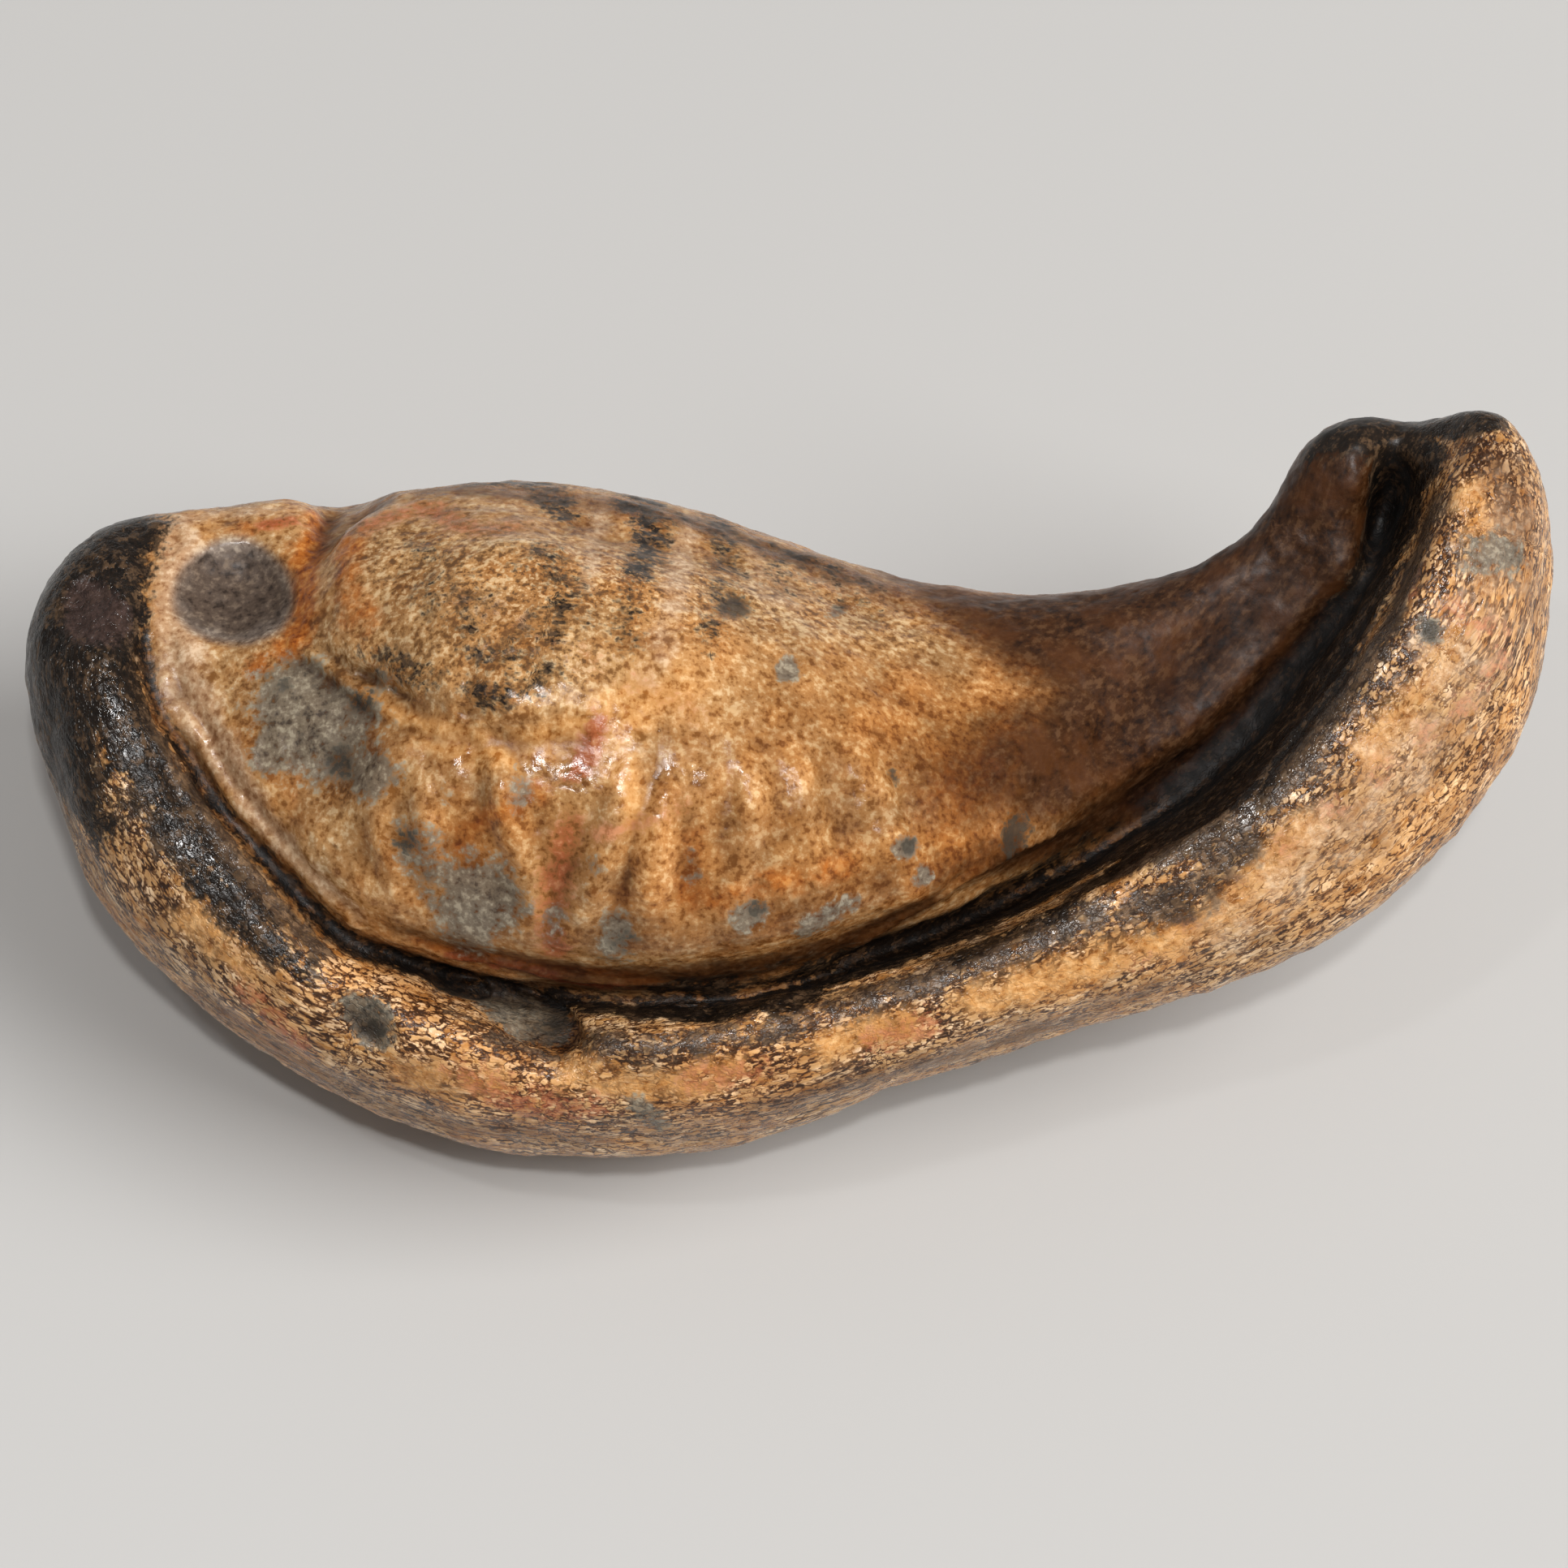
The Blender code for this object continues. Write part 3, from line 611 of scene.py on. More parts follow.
# %% Paint the pale parts
paint("pale", [
    [(-41.2, 17.6, 2.6, 1), (-41.3, 12, 2.4, 1.2), (-40.6, 7, 3, 1.2), (-37.9, 2, 2.4, 1.1),
     (-35.2, -2.2, 2, 1), (-32, -5.8, 1.8, 0.9), (-28.8, -8.8, 1.5, 0.7)],
    [(-40.5, 18, 1.6, 0.8), (-37, 18.4, 1.6, 0.7), (-32.6, 18.6, 1.3, 0.6)],
    [(-12.2, 20.4, 1.3, 0.9), (-12.8, 16.6, 1.4, 0.9), (-13.2, 13.4, 1.3, 0.7)],
    [(-5.8, 19, 1.3, 0.9), (-7, 15, 1.6, 1), (-7.8, 11, 1.8, 0.8), (-9, 7, 1.8, 0.5)],
    [(-2.4, 17, 1.2, 0.7), (-1.6, 13.6, 1.4, 0.6)],
    [(-1, 13, 4, 0.6), (3, 13.5, 3, 0.6), (8, 13.6, 2, 0.8)],
    [(30, -10, 5, 0.5), (38, -3, 6, 0.6), (44, 4, 6, 0.6), (48, 12, 6, 0.6), (49.6, 19, 5, 0.6)],
    [(10, -19, 3.5, 0.4), (20, -15.5, 4, 0.5)],
])

print("pale points:", int((layers["pale"] > 0.5).sum()))

# %% Dab the grey flakes
dab("grey", [
    (-31.8, 4, 6.8, 5.8, -30, 1.00),
    (-33.4, 7.2, 3.4, 1.8, 20, 0.85),
    (-28.8, 4.6, 3, 3.4, 0, 0.80),
    (-34.6, 2.4, 2.8, 2.6, 0, 0.75),
    (-28, 0.8, 3, 3.2, 20, 0.85),
    (-20.7, -8.2, 3.8, 5.4, -12, 1.05),
    (-25, -4.9, 3.2, 3.6, 0, 0.65),
    (-17.9, -0.6, 1.3, 2.2, 0, 0.65),
    (-22.6, -0.4, 1.3, 1.3, 0, 0.5),
    (-11.4, -10.4, 2.2, 3, -20, 0.75),
    (-12.9, -6.6, 1.2, 2.6, -14, 0.55),
    (-15.5, -9.5, 1.2, 2.6, -6, 0.45),
    (-2.2, -8.9, 1.8, 2.2, 10, 0.65),
    (2.6, -9.2, 3.2, 1.3, 30, 0.75),
    (-6.3, -6, 0.9, 2, 0, 0.45),
    (0.2, 7.7, 1.8, 1.1, 60, 0.95),
    (3.6, 11.7, 1.6, 0.8, 35, 0.8),
    (-28.3, -16, 3.2, 1.9, -42, 1.3),
    (-17.4, -15.7, 5.2, 2.4, -24, 1.5),
    (-22.8, -13.6, 2.6, 1.4, -22, 1),
    (8.3, -4.3, 1.3, 1.2, 0, 0.8),
    (9.4, -6.2, 1, 1, 0, 0.6),
    (48.2, 15.6, 3, 2.6, 0, 0.8),
    (43.8, 10.4, 1.4, 1.4, 0, 0.9),
    (-9, -22.4, 3.2, 1.4, -48, 0.7),
    (-27.2, 7, 1.8, 1.2, -30, 0.6),
])
print("grey points:", int((layers["grey"] > 0.5).sum()))

# %% Paint where flecks, specks and soot lie
paint("fleck", [
    [(-45, 4, 9, 0.45), (-43, -5, 9, 0.40), (-38, -12, 9, 0.35), (-30, -18, 9, 0.35), (-20, -21, 9, 0.35),
     (-8, -21, 9, 0.35), (4, -18, 8, 0.2)],
    [(-32, -12.4, 3, 0.7), (-26, -15, 3, 0.6), (-16, -18.4, 3, 0.8), (-8, -18.6, 3, 0.8), (0, -17.4, 3, 0.8),
     (8, -14.8, 3, 0.8), (18, -11.4, 3, 0.8), (28, -6.6, 3, 0.9), (36.5, 1, 3, 0.9), (42, 9, 3.2, 0.9),
     (45.4, 17, 3.4, 0.9), (47, 22, 3, 0.9)],
    [(48, 22, 5, 0.8), (49.6, 17, 4.5, 0.6), (48.6, 10, 4, 0.4)],
])
paint("speckle", [
    [(-26, 15.5, 7, 0.8), (-20, 14, 8, 1), (-14, 14, 8, 1), (-7, 13.5, 8, 1), (0, 12.5, 7, 0.8),
     (7, 11, 6, 0.6)],
    [(-22, 9.5, 5, 0.8), (-15, 8.5, 5, 0.8), (-34, 8, 5, 0.4), (-30, 1, 5, 0.5)],
])
dab("soot", [
    (-3.6, 12, 2, 1.6, 20, 1),
    (15.6, -3.6, 1.6, 2.4, 0, 0.95),
    (8.4, -4.2, 0.9, 0.9, 0, 0.9),
    (7.4, 0.6, 0.7, 0.7, 0, 0.9),
    (-1.9, -8.4, 1, 1, 0, 0.8),
    (-10.9, -10.6, 1.6, 1.2, 0, 0.6),
    (-28.6, 5.6, 1.4, 1.1, 0, 0.8),
    (-30.2, 1.6, 1.6, 1.6, 0, 0.8),
    (-34, 6.6, 1, 0.9, 0, 0.6),
    (-25.6, -3.8, 1.4, 1.2, 0, 0.8),
    (43.8, 10.4, 0.9, 0.9, 0, 0.9),
    (-22.8, -13.4, 3, 1.4, -24, 1.2),
    (-15.2, -16.4, 1.8, 1.6, -24, 0.6),
    (-6, -15.6, 2.2, 1.1, 8, 1),
    (-27.6, -16.6, 1.4, 1, -42, 0.8),
])
dab("pit", [(-37.1, 12.7, 5, 4.2, 0, 1)], hardness=0.75)
dab("mauve", [(-46.7, 11.6, 4.2, 2.7, -52, 1.5)])
print({name: int((amount > 0.5).sum()) for name, amount in layers.items()}, "points over half painted")

# %% [markdown]
# ## Which way the grain runs
#
# On the lip and the horn the bone's grain is drawn out along the groove, like brush
# marks. So each point gets a second set of coordinates: how far along the groove it
# is, how far to the side, and how high. A pattern that reads these coordinates and is
# stretched along the first one follows the bend.

# %% Measure along the groove
FLOW_STEPS = 12
LIP_INSIDE = 1.5
LIP_FADE = 2.0
STEEPEST = 0.85
STEEP_FADE = 0.3


def flow_of(places):
    """Millimetres along the groove, to its outer side, and out of the face."""
    line = curve_through(GROOVE, FLOW_STEPS)[:, :2]
    ways = np.diff(line, axis=0)
    lengths = np.linalg.norm(ways, axis=1)
    starts = np.concatenate([[0], np.cumsum(lengths)])
    along, side = np.zeros(len(places)), np.full(len(places), np.inf)
    for k, (start, way, length) in enumerate(zip(line, ways, lengths)):
        away = places[:, :2] - start
        share = away @ way / length**2
        low = 0 if k else -np.inf
        high = 1 if k < len(ways) - 1 else np.inf
        share = np.clip(share, low, high)
        gap = np.linalg.norm(away - share[:, None] * way, axis=1)
        closer = gap < np.abs(side)
        cross = way[0] * away[:, 1] - way[1] * away[:, 0]
        side[closer] = (np.sign(-cross) * gap)[closer]
        along[closer] = (starts[k] + share * length)[closer]
    return np.column_stack([along, side, places[:, 2]])


FAN_CENTRE = np.array((-8, 34))
FAN_RADIUS = 28


def fan_of(places):
    """Millimetres down the fan of the dome, across it, and out of the face."""
    away = places[:, :2] - FAN_CENTRE
    across = np.arctan2(away[:, 0], -away[:, 1]) * FAN_RADIUS
    return np.column_stack([np.linalg.norm(away, axis=1), across, places[:, 2]])


flow, fan = flow_of(skin.places), fan_of(skin.places)
layers["lip"] = np.clip((flow[:, 1] + LIP_INSIDE) / LIP_FADE, 0, 1)
steep = np.clip((STEEPEST - skin.normals[:, 2]) / STEEP_FADE, 0, 1)
layers["stain"] = np.maximum(layers["stain"], layers.pop("wall") * steep * layers["lip"])
layers["smudge"] *= layers["lip"]
print("the groove is", round(flow[:, 0].max()), "mm long")

# %% [markdown]
# ## Where the paint ends
#
# Nobody saw the back and the underside, so they are kept plain: the strokes over the
# crest fade out behind it. From a little under the widest part of the bone down to its
# belly the colour is darkened with painted shade, and dark mud mottles lie over it.

# %% Keep the back plain and mark the underside for painted shade and mud
BACK_FADE = 0.3
BODY_HALF = 31
UNDER_START, UNDER_END = -3, -15
back = np.clip(-skin.normals[:, 2] / BACK_FADE, 0, 1) * (np.abs(skin.places[:, 0]) < BODY_HALF)
for name in ("stain", "pale", "orange", "rust"):
    layers[name] *= 1 - back
under = np.clip((skin.places[:, 2] - UNDER_START) / (UNDER_END - UNDER_START), 0, 1)
layers["under"] = under**2 * (3 - 2 * under)
print(int((under > 0.5).sum()), "points on the underside")

# %% [markdown]
# Hollows are darkened with dirt and painted shade, and handling polishes the ridges. To
# find both, the places of the points are averaged with their neighbours' many times. A
# point that lies below that soft average is in a hollow, and one above it is on a ridge.

# %% Find the hollows that hold dirt and painted shade
NEIGHBOUR_ROUNDS = 40
DEEP = 0.35


def hollow_of(piece, places, normals):
    """How far each point lies below the soft average of the skin round it, in shares of DEEP."""
    ends = np.empty(len(piece.data.edges) * 2, np.int32)
    piece.data.edges.foreach_get("vertices", ends)
    first, second = ends[::2], ends[1::2]
    count = np.bincount(ends, minlength=len(places))[:, None]
    soft = places.copy()
    for _ in range(NEIGHBOUR_ROUNDS):
        total = np.zeros_like(soft)
        for axis in range(3):
            total[:, axis] += np.bincount(first, soft[second, axis], len(places))
            total[:, axis] += np.bincount(second, soft[first, axis], len(places))
        soft = total / count
    return ((soft - places) * normals).sum(1) / DEEP


sunk = hollow_of(bone, skin.places, skin.normals)
layers["hollow"] = np.clip(sunk, 0, 1)
layers["ridge"] = np.clip(-sunk, 0, 1)
print("deep hollows:", int((sunk > 0.5).sum()), "points")
print("high ridges:", int((sunk < -0.5).sum()), "points")

# %% Write the paint onto the mesh
for name, amount in layers.items():
    layer = bone.data.attributes.new(name, "FLOAT", "POINT")
    layer.data.foreach_set("value", amount.astype(np.float32))
for name, ways in (("flow", flow), ("fan", fan)):
    grain_way = bone.data.attributes.new(name, "FLOAT_VECTOR", "POINT")
    grain_way.data.foreach_set("vector", ways.astype(np.float32).ravel())
print("layers of paint:", len(layers))

# %% [markdown]
# ## The colour of fossil bone
#
# One material makes the whole bone. It first mixes the clean bone: fine grains of cream
# and orange-brown on the dome, and dark flecks drawn out along the lip. Then it lays
# each stain over that. A noise is added to a layer's paint before it is cut off sharp,
# so a stain breaks up into grains at its edge instead of fading like spray.

# %% Make helpers that place nodes
material = bpy.data.materials.new("fossil bone")
material.use_nodes = True
tree = material.node_tree
surface = tree.nodes["Principled BSDF"]


def put(kind, inputs=(), **settings):
    """Adds a node, sets it, and fills or joins its inputs. Gives its first output."""
    node = tree.nodes.new(kind)
    for name, value in settings.items():
        setattr(node, name, value)
    for key, value in dict(inputs).items():
        if isinstance(value, bpy.types.NodeSocket):
            tree.links.new(value, node.inputs[key])
        else:
            node.inputs[key].default_value = value
    return node.outputs[0]


def times(a, b):
    """The product of two numbers."""
    return put("ShaderNodeMath", {0: a, 1: b}, operation="MULTIPLY")


def plus(a, b):
    """The sum of two numbers."""
    return put("ShaderNodeMath", {0: a, 1: b}, operation="ADD")


def minus(a, b):
    """The first number less the second."""
    return put("ShaderNodeMath", {0: a, 1: b}, operation="SUBTRACT")


def step(value, low, high):
    """0 below low, 1 above high, and smooth between them."""
    inputs = {"Value": value, "From Min": low, "From Max": high}
    return put("ShaderNodeMapRange", inputs, interpolation_type="SMOOTHSTEP")


def blend(share, under, over, way="MIX"):
    """One colour over another, by a share from 0 to 1."""
    node = tree.nodes.new("ShaderNodeMix")
    node.data_type = "RGBA"
    node.blend_type = way
    for key, value in ((0, share), (6, under), (7, over)):
        if isinstance(value, bpy.types.NodeSocket):
            tree.links.new(value, node.inputs[key])
        else:
            node.inputs[key].default_value = (*value, 1) if key else value
    return node.outputs[2]


print("nodes at the start:", len(tree.nodes))

# %% [markdown]
# A noise gives numbers round a half. The next helpers bring its middle to nought, set
# its light and dark further apart, mix two noises into one, and use a noise to roughen
# the edge of the paint.

# %% Make helpers that shape noise
HALF = 0.5
PAINT_EDGE = 0.15
ROUGHNESS_OF_NOISE = 0.6


def noise(coordinates, size, detail=2.0):
    """Soft noise with lumps of about the given size in millimetres."""
    inputs = {"Vector": coordinates, "Scale": 1 / size, "Detail": detail, "Roughness": ROUGHNESS_OF_NOISE}
    return put("ShaderNodeTexNoise", inputs, noise_dimensions="3D")


def centred(value):
    """A noise whose middle is at nought."""
    return minus(value, HALF)


def sharper(value, factor):
    """The same noise with its light and dark further apart."""
    return plus(times(centred(value), factor), HALF)


def mixed(first, second, share):
    """Two noises in one, with the given share of the second."""
    return plus(times(first, 1 - share), times(second, share))


def painted(layer):
    """The amount of one layer of paint."""
    node = tree.nodes.new("ShaderNodeAttribute")
    node.attribute_name = layer
    return node.outputs["Fac"]


def ragged(layer, grain, spread, low, high):
    """A layer of paint whose edge a noise has roughened: 0 below low, 1 above high."""
    amount = painted(layer)
    rough = times(times(centred(grain), spread), step(amount, 0.0, PAINT_EDGE))
    return step(plus(amount, rough), low, high)


print("layers that can be read:", sorted(layers))

# %% [markdown]
# ## Grains, streaks and lumps
#
# Everything that follows is measured in millimetres on the bone itself, so a grain has
# its real size from any side. Round grains read the plain room coordinates. Streaks read
# the coordinates along the groove or down the fan of the dome. On the lip the dark
# flecks lie between lumps, like gaps between pebbles, so a cell pattern makes them. Its
# coordinates are bent by a noise first, because bone has no ruled lines.

# %% Measure on the bone
MM_PER_METRE = 1000
place = tree.nodes.new("ShaderNodeTexCoord").outputs["Object"]
room = put("ShaderNodeVectorMath", {0: place, "Scale": MM_PER_METRE}, operation="SCALE")


def along(way, length, width):
    """Coordinates along the flow or the fan, squeezed so that noise of size 1 is length by width."""
    node = tree.nodes.new("ShaderNodeAttribute")
    node.attribute_name = way
    inputs = {0: node.outputs["Vector"], 1: (1 / length, 1 / width, 1 / width)}
    return put("ShaderNodeVectorMath", inputs, operation="MULTIPLY")


def bent(coordinates, size, reach):
    """Coordinates pushed about by a noise, so that no pattern on them looks ruled."""
    node = tree.nodes.new("ShaderNodeTexNoise")
    node.inputs["Scale"].default_value = 1 / size
    node.inputs["Detail"].default_value = 2.0
    tree.links.new(coordinates, node.inputs["Vector"])
    inputs = {0: node.outputs["Color"], 1: (HALF, HALF, HALF)}
    middle = put("ShaderNodeVectorMath", inputs, operation="SUBTRACT")
    pushed = put("ShaderNodeVectorMath", {0: middle, "Scale": reach}, operation="SCALE")
    return put("ShaderNodeVectorMath", {0: coordinates, 1: pushed}, operation="ADD")


def lumps_of(coordinates, size):
    """Lumps about as large as the size: one random number for each, and the way to its edge."""
    inputs = {"Vector": coordinates, "Scale": 1 / size}
    edge = put("ShaderNodeTexVoronoi", inputs, feature="DISTANCE_TO_EDGE")
    cell = tree.nodes.new("ShaderNodeTexVoronoi")
    cell.inputs["Scale"].default_value = 1 / size
    tree.links.new(coordinates, cell.inputs["Vector"])
    return cell.outputs["Color"], edge


# %% Make the noises
fine = noise(room, 0.50, 4)
medium = noise(room, 1.6, 4)
blotch = noise(room, 3.0, 3)
clump = noise(along("flow", 3.2, 1.8), 1, 3)
streak = noise(along("flow", 1.2, 0.48), 1, 3)
thread = noise(along("flow", 0.85, 0.34), 1, 3)
fibre = noise(along("fan", 1.1, 0.55), 1, 3)
lump_hue, lump_edge = lumps_of(bent(along("flow", 0.85, 0.60), 0.8, 2.2), 1.0)
grain = mixed(fine, medium, 0.35)
print("nodes with the noises:", len(tree.nodes))

# %% [markdown]
# ## The clean bone
#
# Without its stains the dome is tan with fine dark and cream grains, and the lip is
# paler, with dark flecks between its lumps. Each finish has three colours: its darkest
# grains, its middle ones and its lightest. A noise picks between them.

# %% Mix the clean bone
DOME = ((0.24, 0.100, 0.026), (0.47, 0.250, 0.095), (0.68, 0.465, 0.25))
OCHRE = ((0.175, 0.054, 0.011), (0.36, 0.145, 0.036), (0.53, 0.295, 0.115))
LIP = ((0.40, 0.175, 0.046), (0.60, 0.345, 0.148), (0.84, 0.58, 0.34))
GAP = (0.16, 0.062, 0.022)
DEEP_GAP = (0.030, 0.014, 0.008)
DULL, BRIGHT = (0.70, 0.62, 0.54), (1.12, 1.10, 1.06)
WARM, COOL = (1.0, 0.90, 0.78), (0.84, 0.90, 0.98)
DARKEST, MIDDLE, LIGHTEST = 0.36, 0.50, 0.64


def three(share, colours):
    """A colour that runs from the first of three over the second to the third."""
    dark, middle, light = colours
    lower = blend(step(share, DARKEST, MIDDLE), dark, middle)
    return blend(step(share, MIDDLE, LIGHTEST), lower, light)


dome_tone = sharper(mixed(grain, fibre, 0.22), 1.35)
dome = three(dome_tone, DOME)
ochre = three(dome_tone, OCHRE)
dome = blend(times(painted("ochre"), step(blotch, 0.2, 0.5)), dome, ochre)
dome = blend(times(step(noise(room, 2.2, 3), 0.46, 0.62), 0.55), dome, ochre)
lip = three(mixed(mixed(streak, clump, 0.4), lump_hue, 0.22), LIP)
gap_width = times(mixed(clump, painted("fleck"), 0.30), 0.46)
gap_width = plus(gap_width, times(centred(thread), 0.9))
lip_gap = minus(gap_width, lump_edge)
lip = blend(times(step(lip_gap, 0.00, 0.14), 0.9), lip, GAP)
lip = blend(times(step(lip_gap, 0.12, 0.24), 0.9), lip, DEEP_GAP)
clean = blend(painted("lip"), dome, lip)
clean = blend(0.8, clean, blend(step(blotch, 0.35, 0.62), DULL, BRIGHT), "MULTIPLY")
clean = blend(0.6, clean, blend(step(noise(room, 9.0, 2), 0.4, 0.6), WARM, COOL), "MULTIPLY")
print("nodes with the clean bone:", len(tree.nodes))

# %% [markdown]
# ## The stains
#
# The stains go on from the faintest to the strongest, as they would in the ground:
# first the warm ones that soak in, then the grey of the bare stone, and last the black
# that lies on top. A multiplied colour shades what is under it and keeps its grain. The
# red-brown, the underside and the hollows are darkened with painted shade as well.

# %% Choose the colours of the stains
AMBER = ((0.34, 0.115, 0.018), (0.56, 0.265, 0.082), (0.72, 0.40, 0.16))
PALE = ((0.28, 0.135, 0.062), (0.46, 0.275, 0.150), (0.66, 0.46, 0.29))
ORANGE = ((0.18, 0.038, 0.005), (0.38, 0.108, 0.015), (0.56, 0.22, 0.050))
RUST = ((0.15, 0.026, 0.008), (0.34, 0.075, 0.026), (0.50, 0.19, 0.080))
# red-brown colours, made dark enough to hold the painted shade of the horn's flank and neck
UMBER_AND_SHADE = ((0.018, 0.0060, 0.0020), (0.046, 0.0165, 0.0050), (0.098, 0.044, 0.018))
GREY = ((0.040, 0.038, 0.033), (0.148, 0.130, 0.100), (0.32, 0.285, 0.215))
PIT = ((0.090, 0.068, 0.055), (0.24, 0.190, 0.155), (0.48, 0.40, 0.32))
SMUDGE = ((0.018, 0.012, 0.009), (0.055, 0.037, 0.026), (0.19, 0.115, 0.065))
BLACK = ((0.0065, 0.0050, 0.004), (0.016, 0.010, 0.0065), (0.095, 0.055, 0.029))
MUD = ((0.0065, 0.0050, 0.004), (0.040, 0.022, 0.012), (0.095, 0.055, 0.029))
MAUVE_DARK, MAUVE_LIGHT = (0.032, 0.018, 0.014), (0.080, 0.049, 0.041)
PEPPER, SALT = (0.105, 0.056, 0.026), (0.80, 0.55, 0.29)
RED_BROWN = (0.088, 0.029, 0.0075)
SOOT = (0.040, 0.034, 0.026)
BLEACHED = (1.35, 1.42, 1.55)
UMBER_SHADE = (0.43, 0.34, 0.28)
UNDER_SHADE = (0.72, 0.50, 0.32)
HOLLOW_SHADE = (0.22, 0.15, 0.10)


def cover(colour, layer, over, edge, spread, low, high, most=1.0):
    """Lays a stain over a colour. The edge noise makes its paint ragged by the spread."""
    return blend(times(ragged(layer, edge, spread, low, high), most), colour, over)


# %% Lay the warm stains and the red-brown's painted shade
bead = mixed(fine, thread, 0.5)
dust = sharper(mixed(fine, fibre, 0.30), 1.4)
dark_dust = times(step(dust, 0.45, 0.38), 0.75)
light_dust = times(step(dust, 0.52, 0.60), 0.60)
clean = blend(times(painted("speckle"), dark_dust), clean, PEPPER)
clean = blend(times(painted("speckle"), light_dust), clean, SALT)
colour = cover(clean, "amber", three(dome_tone, AMBER), medium, 1.8, 0.1, 1.0)
colour = cover(colour, "pale", three(dome_tone, PALE), medium, 1.8, 0.1, 1.0, most=0.8)
colour = cover(colour, "orange", three(dome_tone, ORANGE), medium, 2.0, 0.1, 1.0)
colour = cover(colour, "rust", three(grain, RUST), grain, 3.0, 0.2, 0.9, most=0.85)
colour = blend(times(painted("ridge"), 0.6), colour, BLEACHED, "MULTIPLY")
# painted shade: the red-brown layer darkens the colour under it
colour = blend(step(painted("umber_and_shade"), 0.0, 0.8), colour, UMBER_SHADE, "MULTIPLY")
umber_and_shade_tone = mixed(mixed(streak, fine, 0.4), clump, 0.25)
umber_and_shade = three(sharper(umber_and_shade_tone, 1.5), UMBER_AND_SHADE)
umber_and_shade = blend(times(step(blotch, 0.45, 0.65), 0.6), umber_and_shade, RED_BROWN)
colour = cover(colour, "umber_and_shade", umber_and_shade, mixed(medium, streak, 0.5), 1.6, 0.1, 1.1)
print("nodes with the warm stains:", len(tree.nodes))

# %% Lay the grey, the black, and the painted shade of the underside and the hollows
grey_spots = ragged("grey", mixed(blotch, grain, 0.60), 5.0, 0.15, 0.75)
colour = blend(times(grey_spots, 0.85), colour, three(grain, GREY))
colour = cover(colour, "soot", SOOT, grain, 4.0, 0.2, 0.9, most=0.85)
colour = blend(painted("pit"), colour, three(grain, PIT))
smudge = three(sharper(mixed(bead, lump_hue, 0.15), 1.2), SMUDGE)
colour = cover(colour, "smudge", smudge, mixed(bead, medium, 0.5), 3.6, 0.15, 0.90, most=0.92)
black = three(mixed(bead, lump_hue, 0.22), BLACK)
colour = cover(colour, "stain", black, mixed(bead, medium, 0.4), 4.0, 0.25, 0.80)
# the underside: mud mottles, and painted shade that darkens it towards the belly
mud = times(painted("under"), step(mixed(noise(room, 8.0, 4), bead, 0.25), 0.47, 0.60))
colour = blend(times(painted("under"), 0.8), colour, UNDER_SHADE, "MULTIPLY")
colour = blend(times(mud, 0.85), colour, three(bead, MUD))
mauve = blend(step(grain, 0.35, 0.65), MAUVE_DARK, MAUVE_LIGHT)
colour = cover(colour, "mauve", mauve, grain, 2.0, 0.2, 0.9, most=0.85)
# painted shade and dirt: the hollows are darkened
colour = blend(times(painted("hollow"), 0.8), colour, HOLLOW_SHADE, "MULTIPLY")
tree.links.new(colour, surface.inputs["Base Color"])
print("nodes with all the stains:", len(tree.nodes))

# %% [markdown]
# ## The shine
#
# The bone is polished by handling, so it has small sharp glints. They need a skin that
# is smooth and a little wavy: a low bump of soft waves breaks one long glint into many.
# The lip is lumpier, by the same lumps that give it its colours. Hollows, grey stone
# and the dense horn are duller, so there the surface is rougher.

# %% Make the surface catch the light
BUMP_HEIGHT = 0.15
LUMP_SHARE, FINE_SHARE = 0.20, 0.27
SMOOTHEST, CLOUDY = 0.12, 0.20
ON_GREY, ON_UMBER, IN_HOLLOWS = 0.08, 0.20, 0.30
SPECULAR = 0.20

waves = noise(room, 1.3, 1)
lumps = times(times(step(lump_edge, 0.0, 0.25), painted("lip")), LUMP_SHARE)
bumps = plus(waves, plus(lumps, times(fine, FINE_SHARE)))
bump = tree.nodes.new("ShaderNodeBump")
bump.inputs["Strength"].default_value = 1.0
bump.inputs["Distance"].default_value = BUMP_HEIGHT * MM
tree.links.new(bumps, bump.inputs["Height"])
tree.links.new(bump.outputs["Normal"], surface.inputs["Normal"])
dullness = plus(times(grey_spots, ON_GREY), times(step(medium, 0.3, 0.7), CLOUDY))
dullness = plus(dullness, plus(times(painted("umber_and_shade"), ON_UMBER), times(painted("hollow"), IN_HOLLOWS)))
tree.links.new(plus(dullness, SMOOTHEST), surface.inputs["Roughness"])
surface.inputs["Specular IOR Level"].default_value = SPECULAR
bone.data.materials.append(material)
print("nodes in the finished material:", len(tree.nodes))

# %% [markdown]
# ## The floor
#
# The bone rests on its belly on a plain pale floor, which is there for the picture
# alone. It is large enough that the camera never sees its edge.

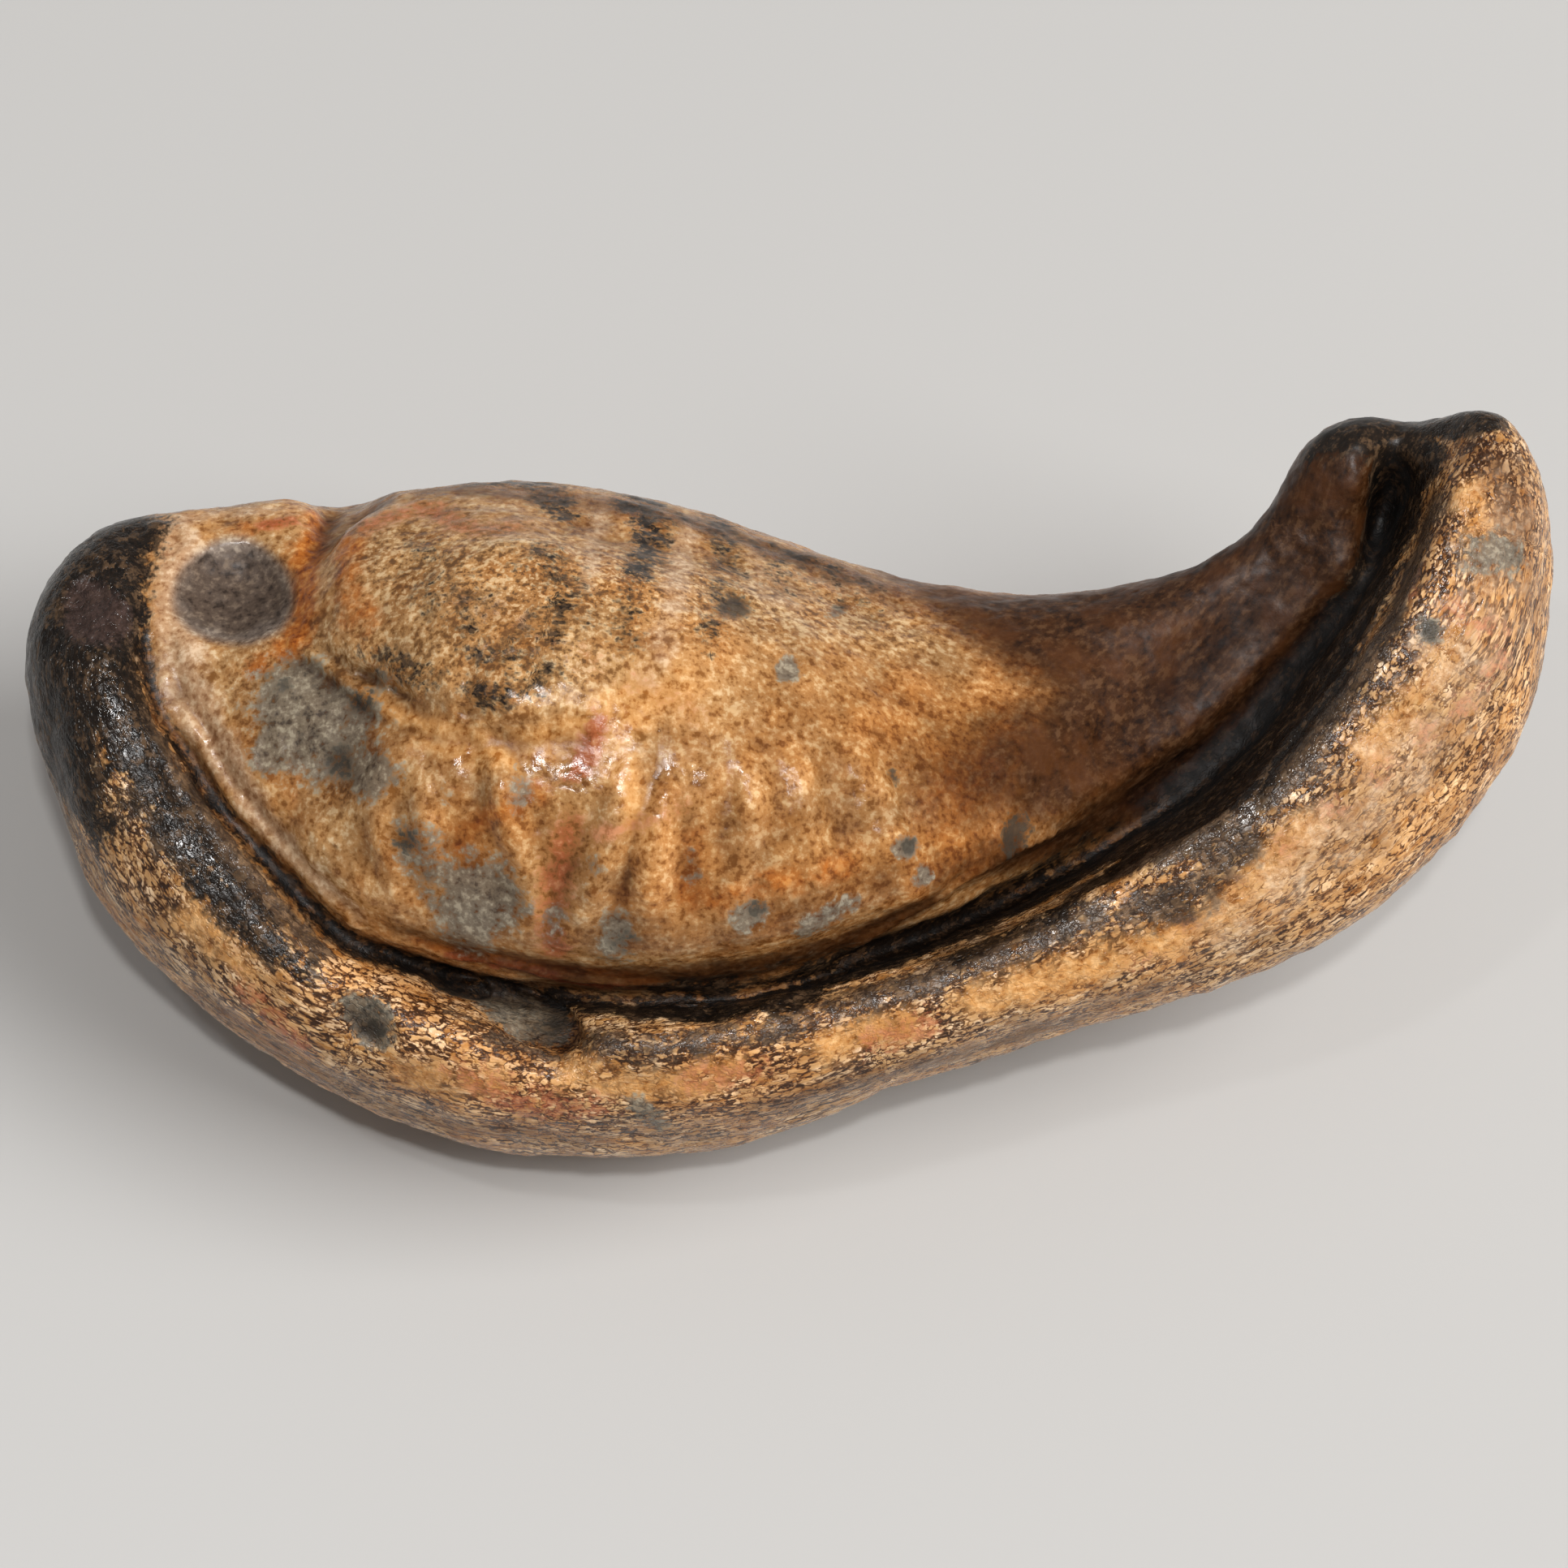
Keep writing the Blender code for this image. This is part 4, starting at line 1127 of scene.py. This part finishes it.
# %% Lay the floor
FLOOR_SIZE = 1.2
CHALK = (0.50, 0.49, 0.475, 1)
bpy.ops.mesh.primitive_plane_add(size=FLOOR_SIZE)
floor = bpy.context.object
floor.name = "floor"
chalk = bpy.data.materials.new("pale floor")
chalk.use_nodes = True
chalk.node_tree.nodes["Principled BSDF"].inputs["Base Color"].default_value = CHALK
floor.data.materials.append(chalk)
print("the floor is", FLOOR_SIZE, "m wide")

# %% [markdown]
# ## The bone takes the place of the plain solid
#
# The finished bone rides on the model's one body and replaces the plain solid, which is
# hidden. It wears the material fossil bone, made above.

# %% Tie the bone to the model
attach(bone, "root")
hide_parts("ear_bone")
print(bone.name, "replaces", solid.name)

# %% [markdown]
# ## Light
#
# One large lamp gives the soft light that shapes the bone, from the upper right. It
# makes no glint, because a large glint would lie over the dome like milk. Two small
# lamps make the glints instead: one high at the left and one over the middle. A faint
# even light from all round fills the shadows.

# %% Set the lamps
KEY_POWER, LEFT_POWER, MIDDLE_POWER = 20.5, 15.0, 4.3
SOFT_SIZE, SPARK_SIZE = 900, 60
ROOM_COLOUR = (1.0, 0.98, 0.96, 1)
ROOM_STRENGTH = 0.29


def lamp(name, x, y, z, size, power):
    """A soft square lamp at x, y, z on the face, aimed at the bone's middle."""
    bpy.ops.object.light_add(type="AREA", location=to_room((x, y, z)))
    light = bpy.context.object
    light.name = name
    light.data.size = size * MM
    light.data.energy = power
    light.rotation_euler = (Vector(FACE_MIDDLE) - light.location).to_track_quat("-Z", "Y").to_euler()
    return light


key = lamp("key lamp", 900, 360, 980, SOFT_SIZE, KEY_POWER)
key.visible_glossy = False
left_spark = lamp("left spark", -330, 470, 1150, SPARK_SIZE, LEFT_POWER)
left_spark.visible_diffuse = False
lamp("middle spark", 60, 210, 1200, SPARK_SIZE, MIDDLE_POWER)
world = bpy.context.scene.world or bpy.data.worlds.new("room")
bpy.context.scene.world = world
world.use_nodes = True
air = world.node_tree.nodes["Background"]
air.inputs["Color"].default_value = ROOM_COLOUR
air.inputs["Strength"].default_value = ROOM_STRENGTH
bpy.context.scene.view_settings.view_transform = "Standard"
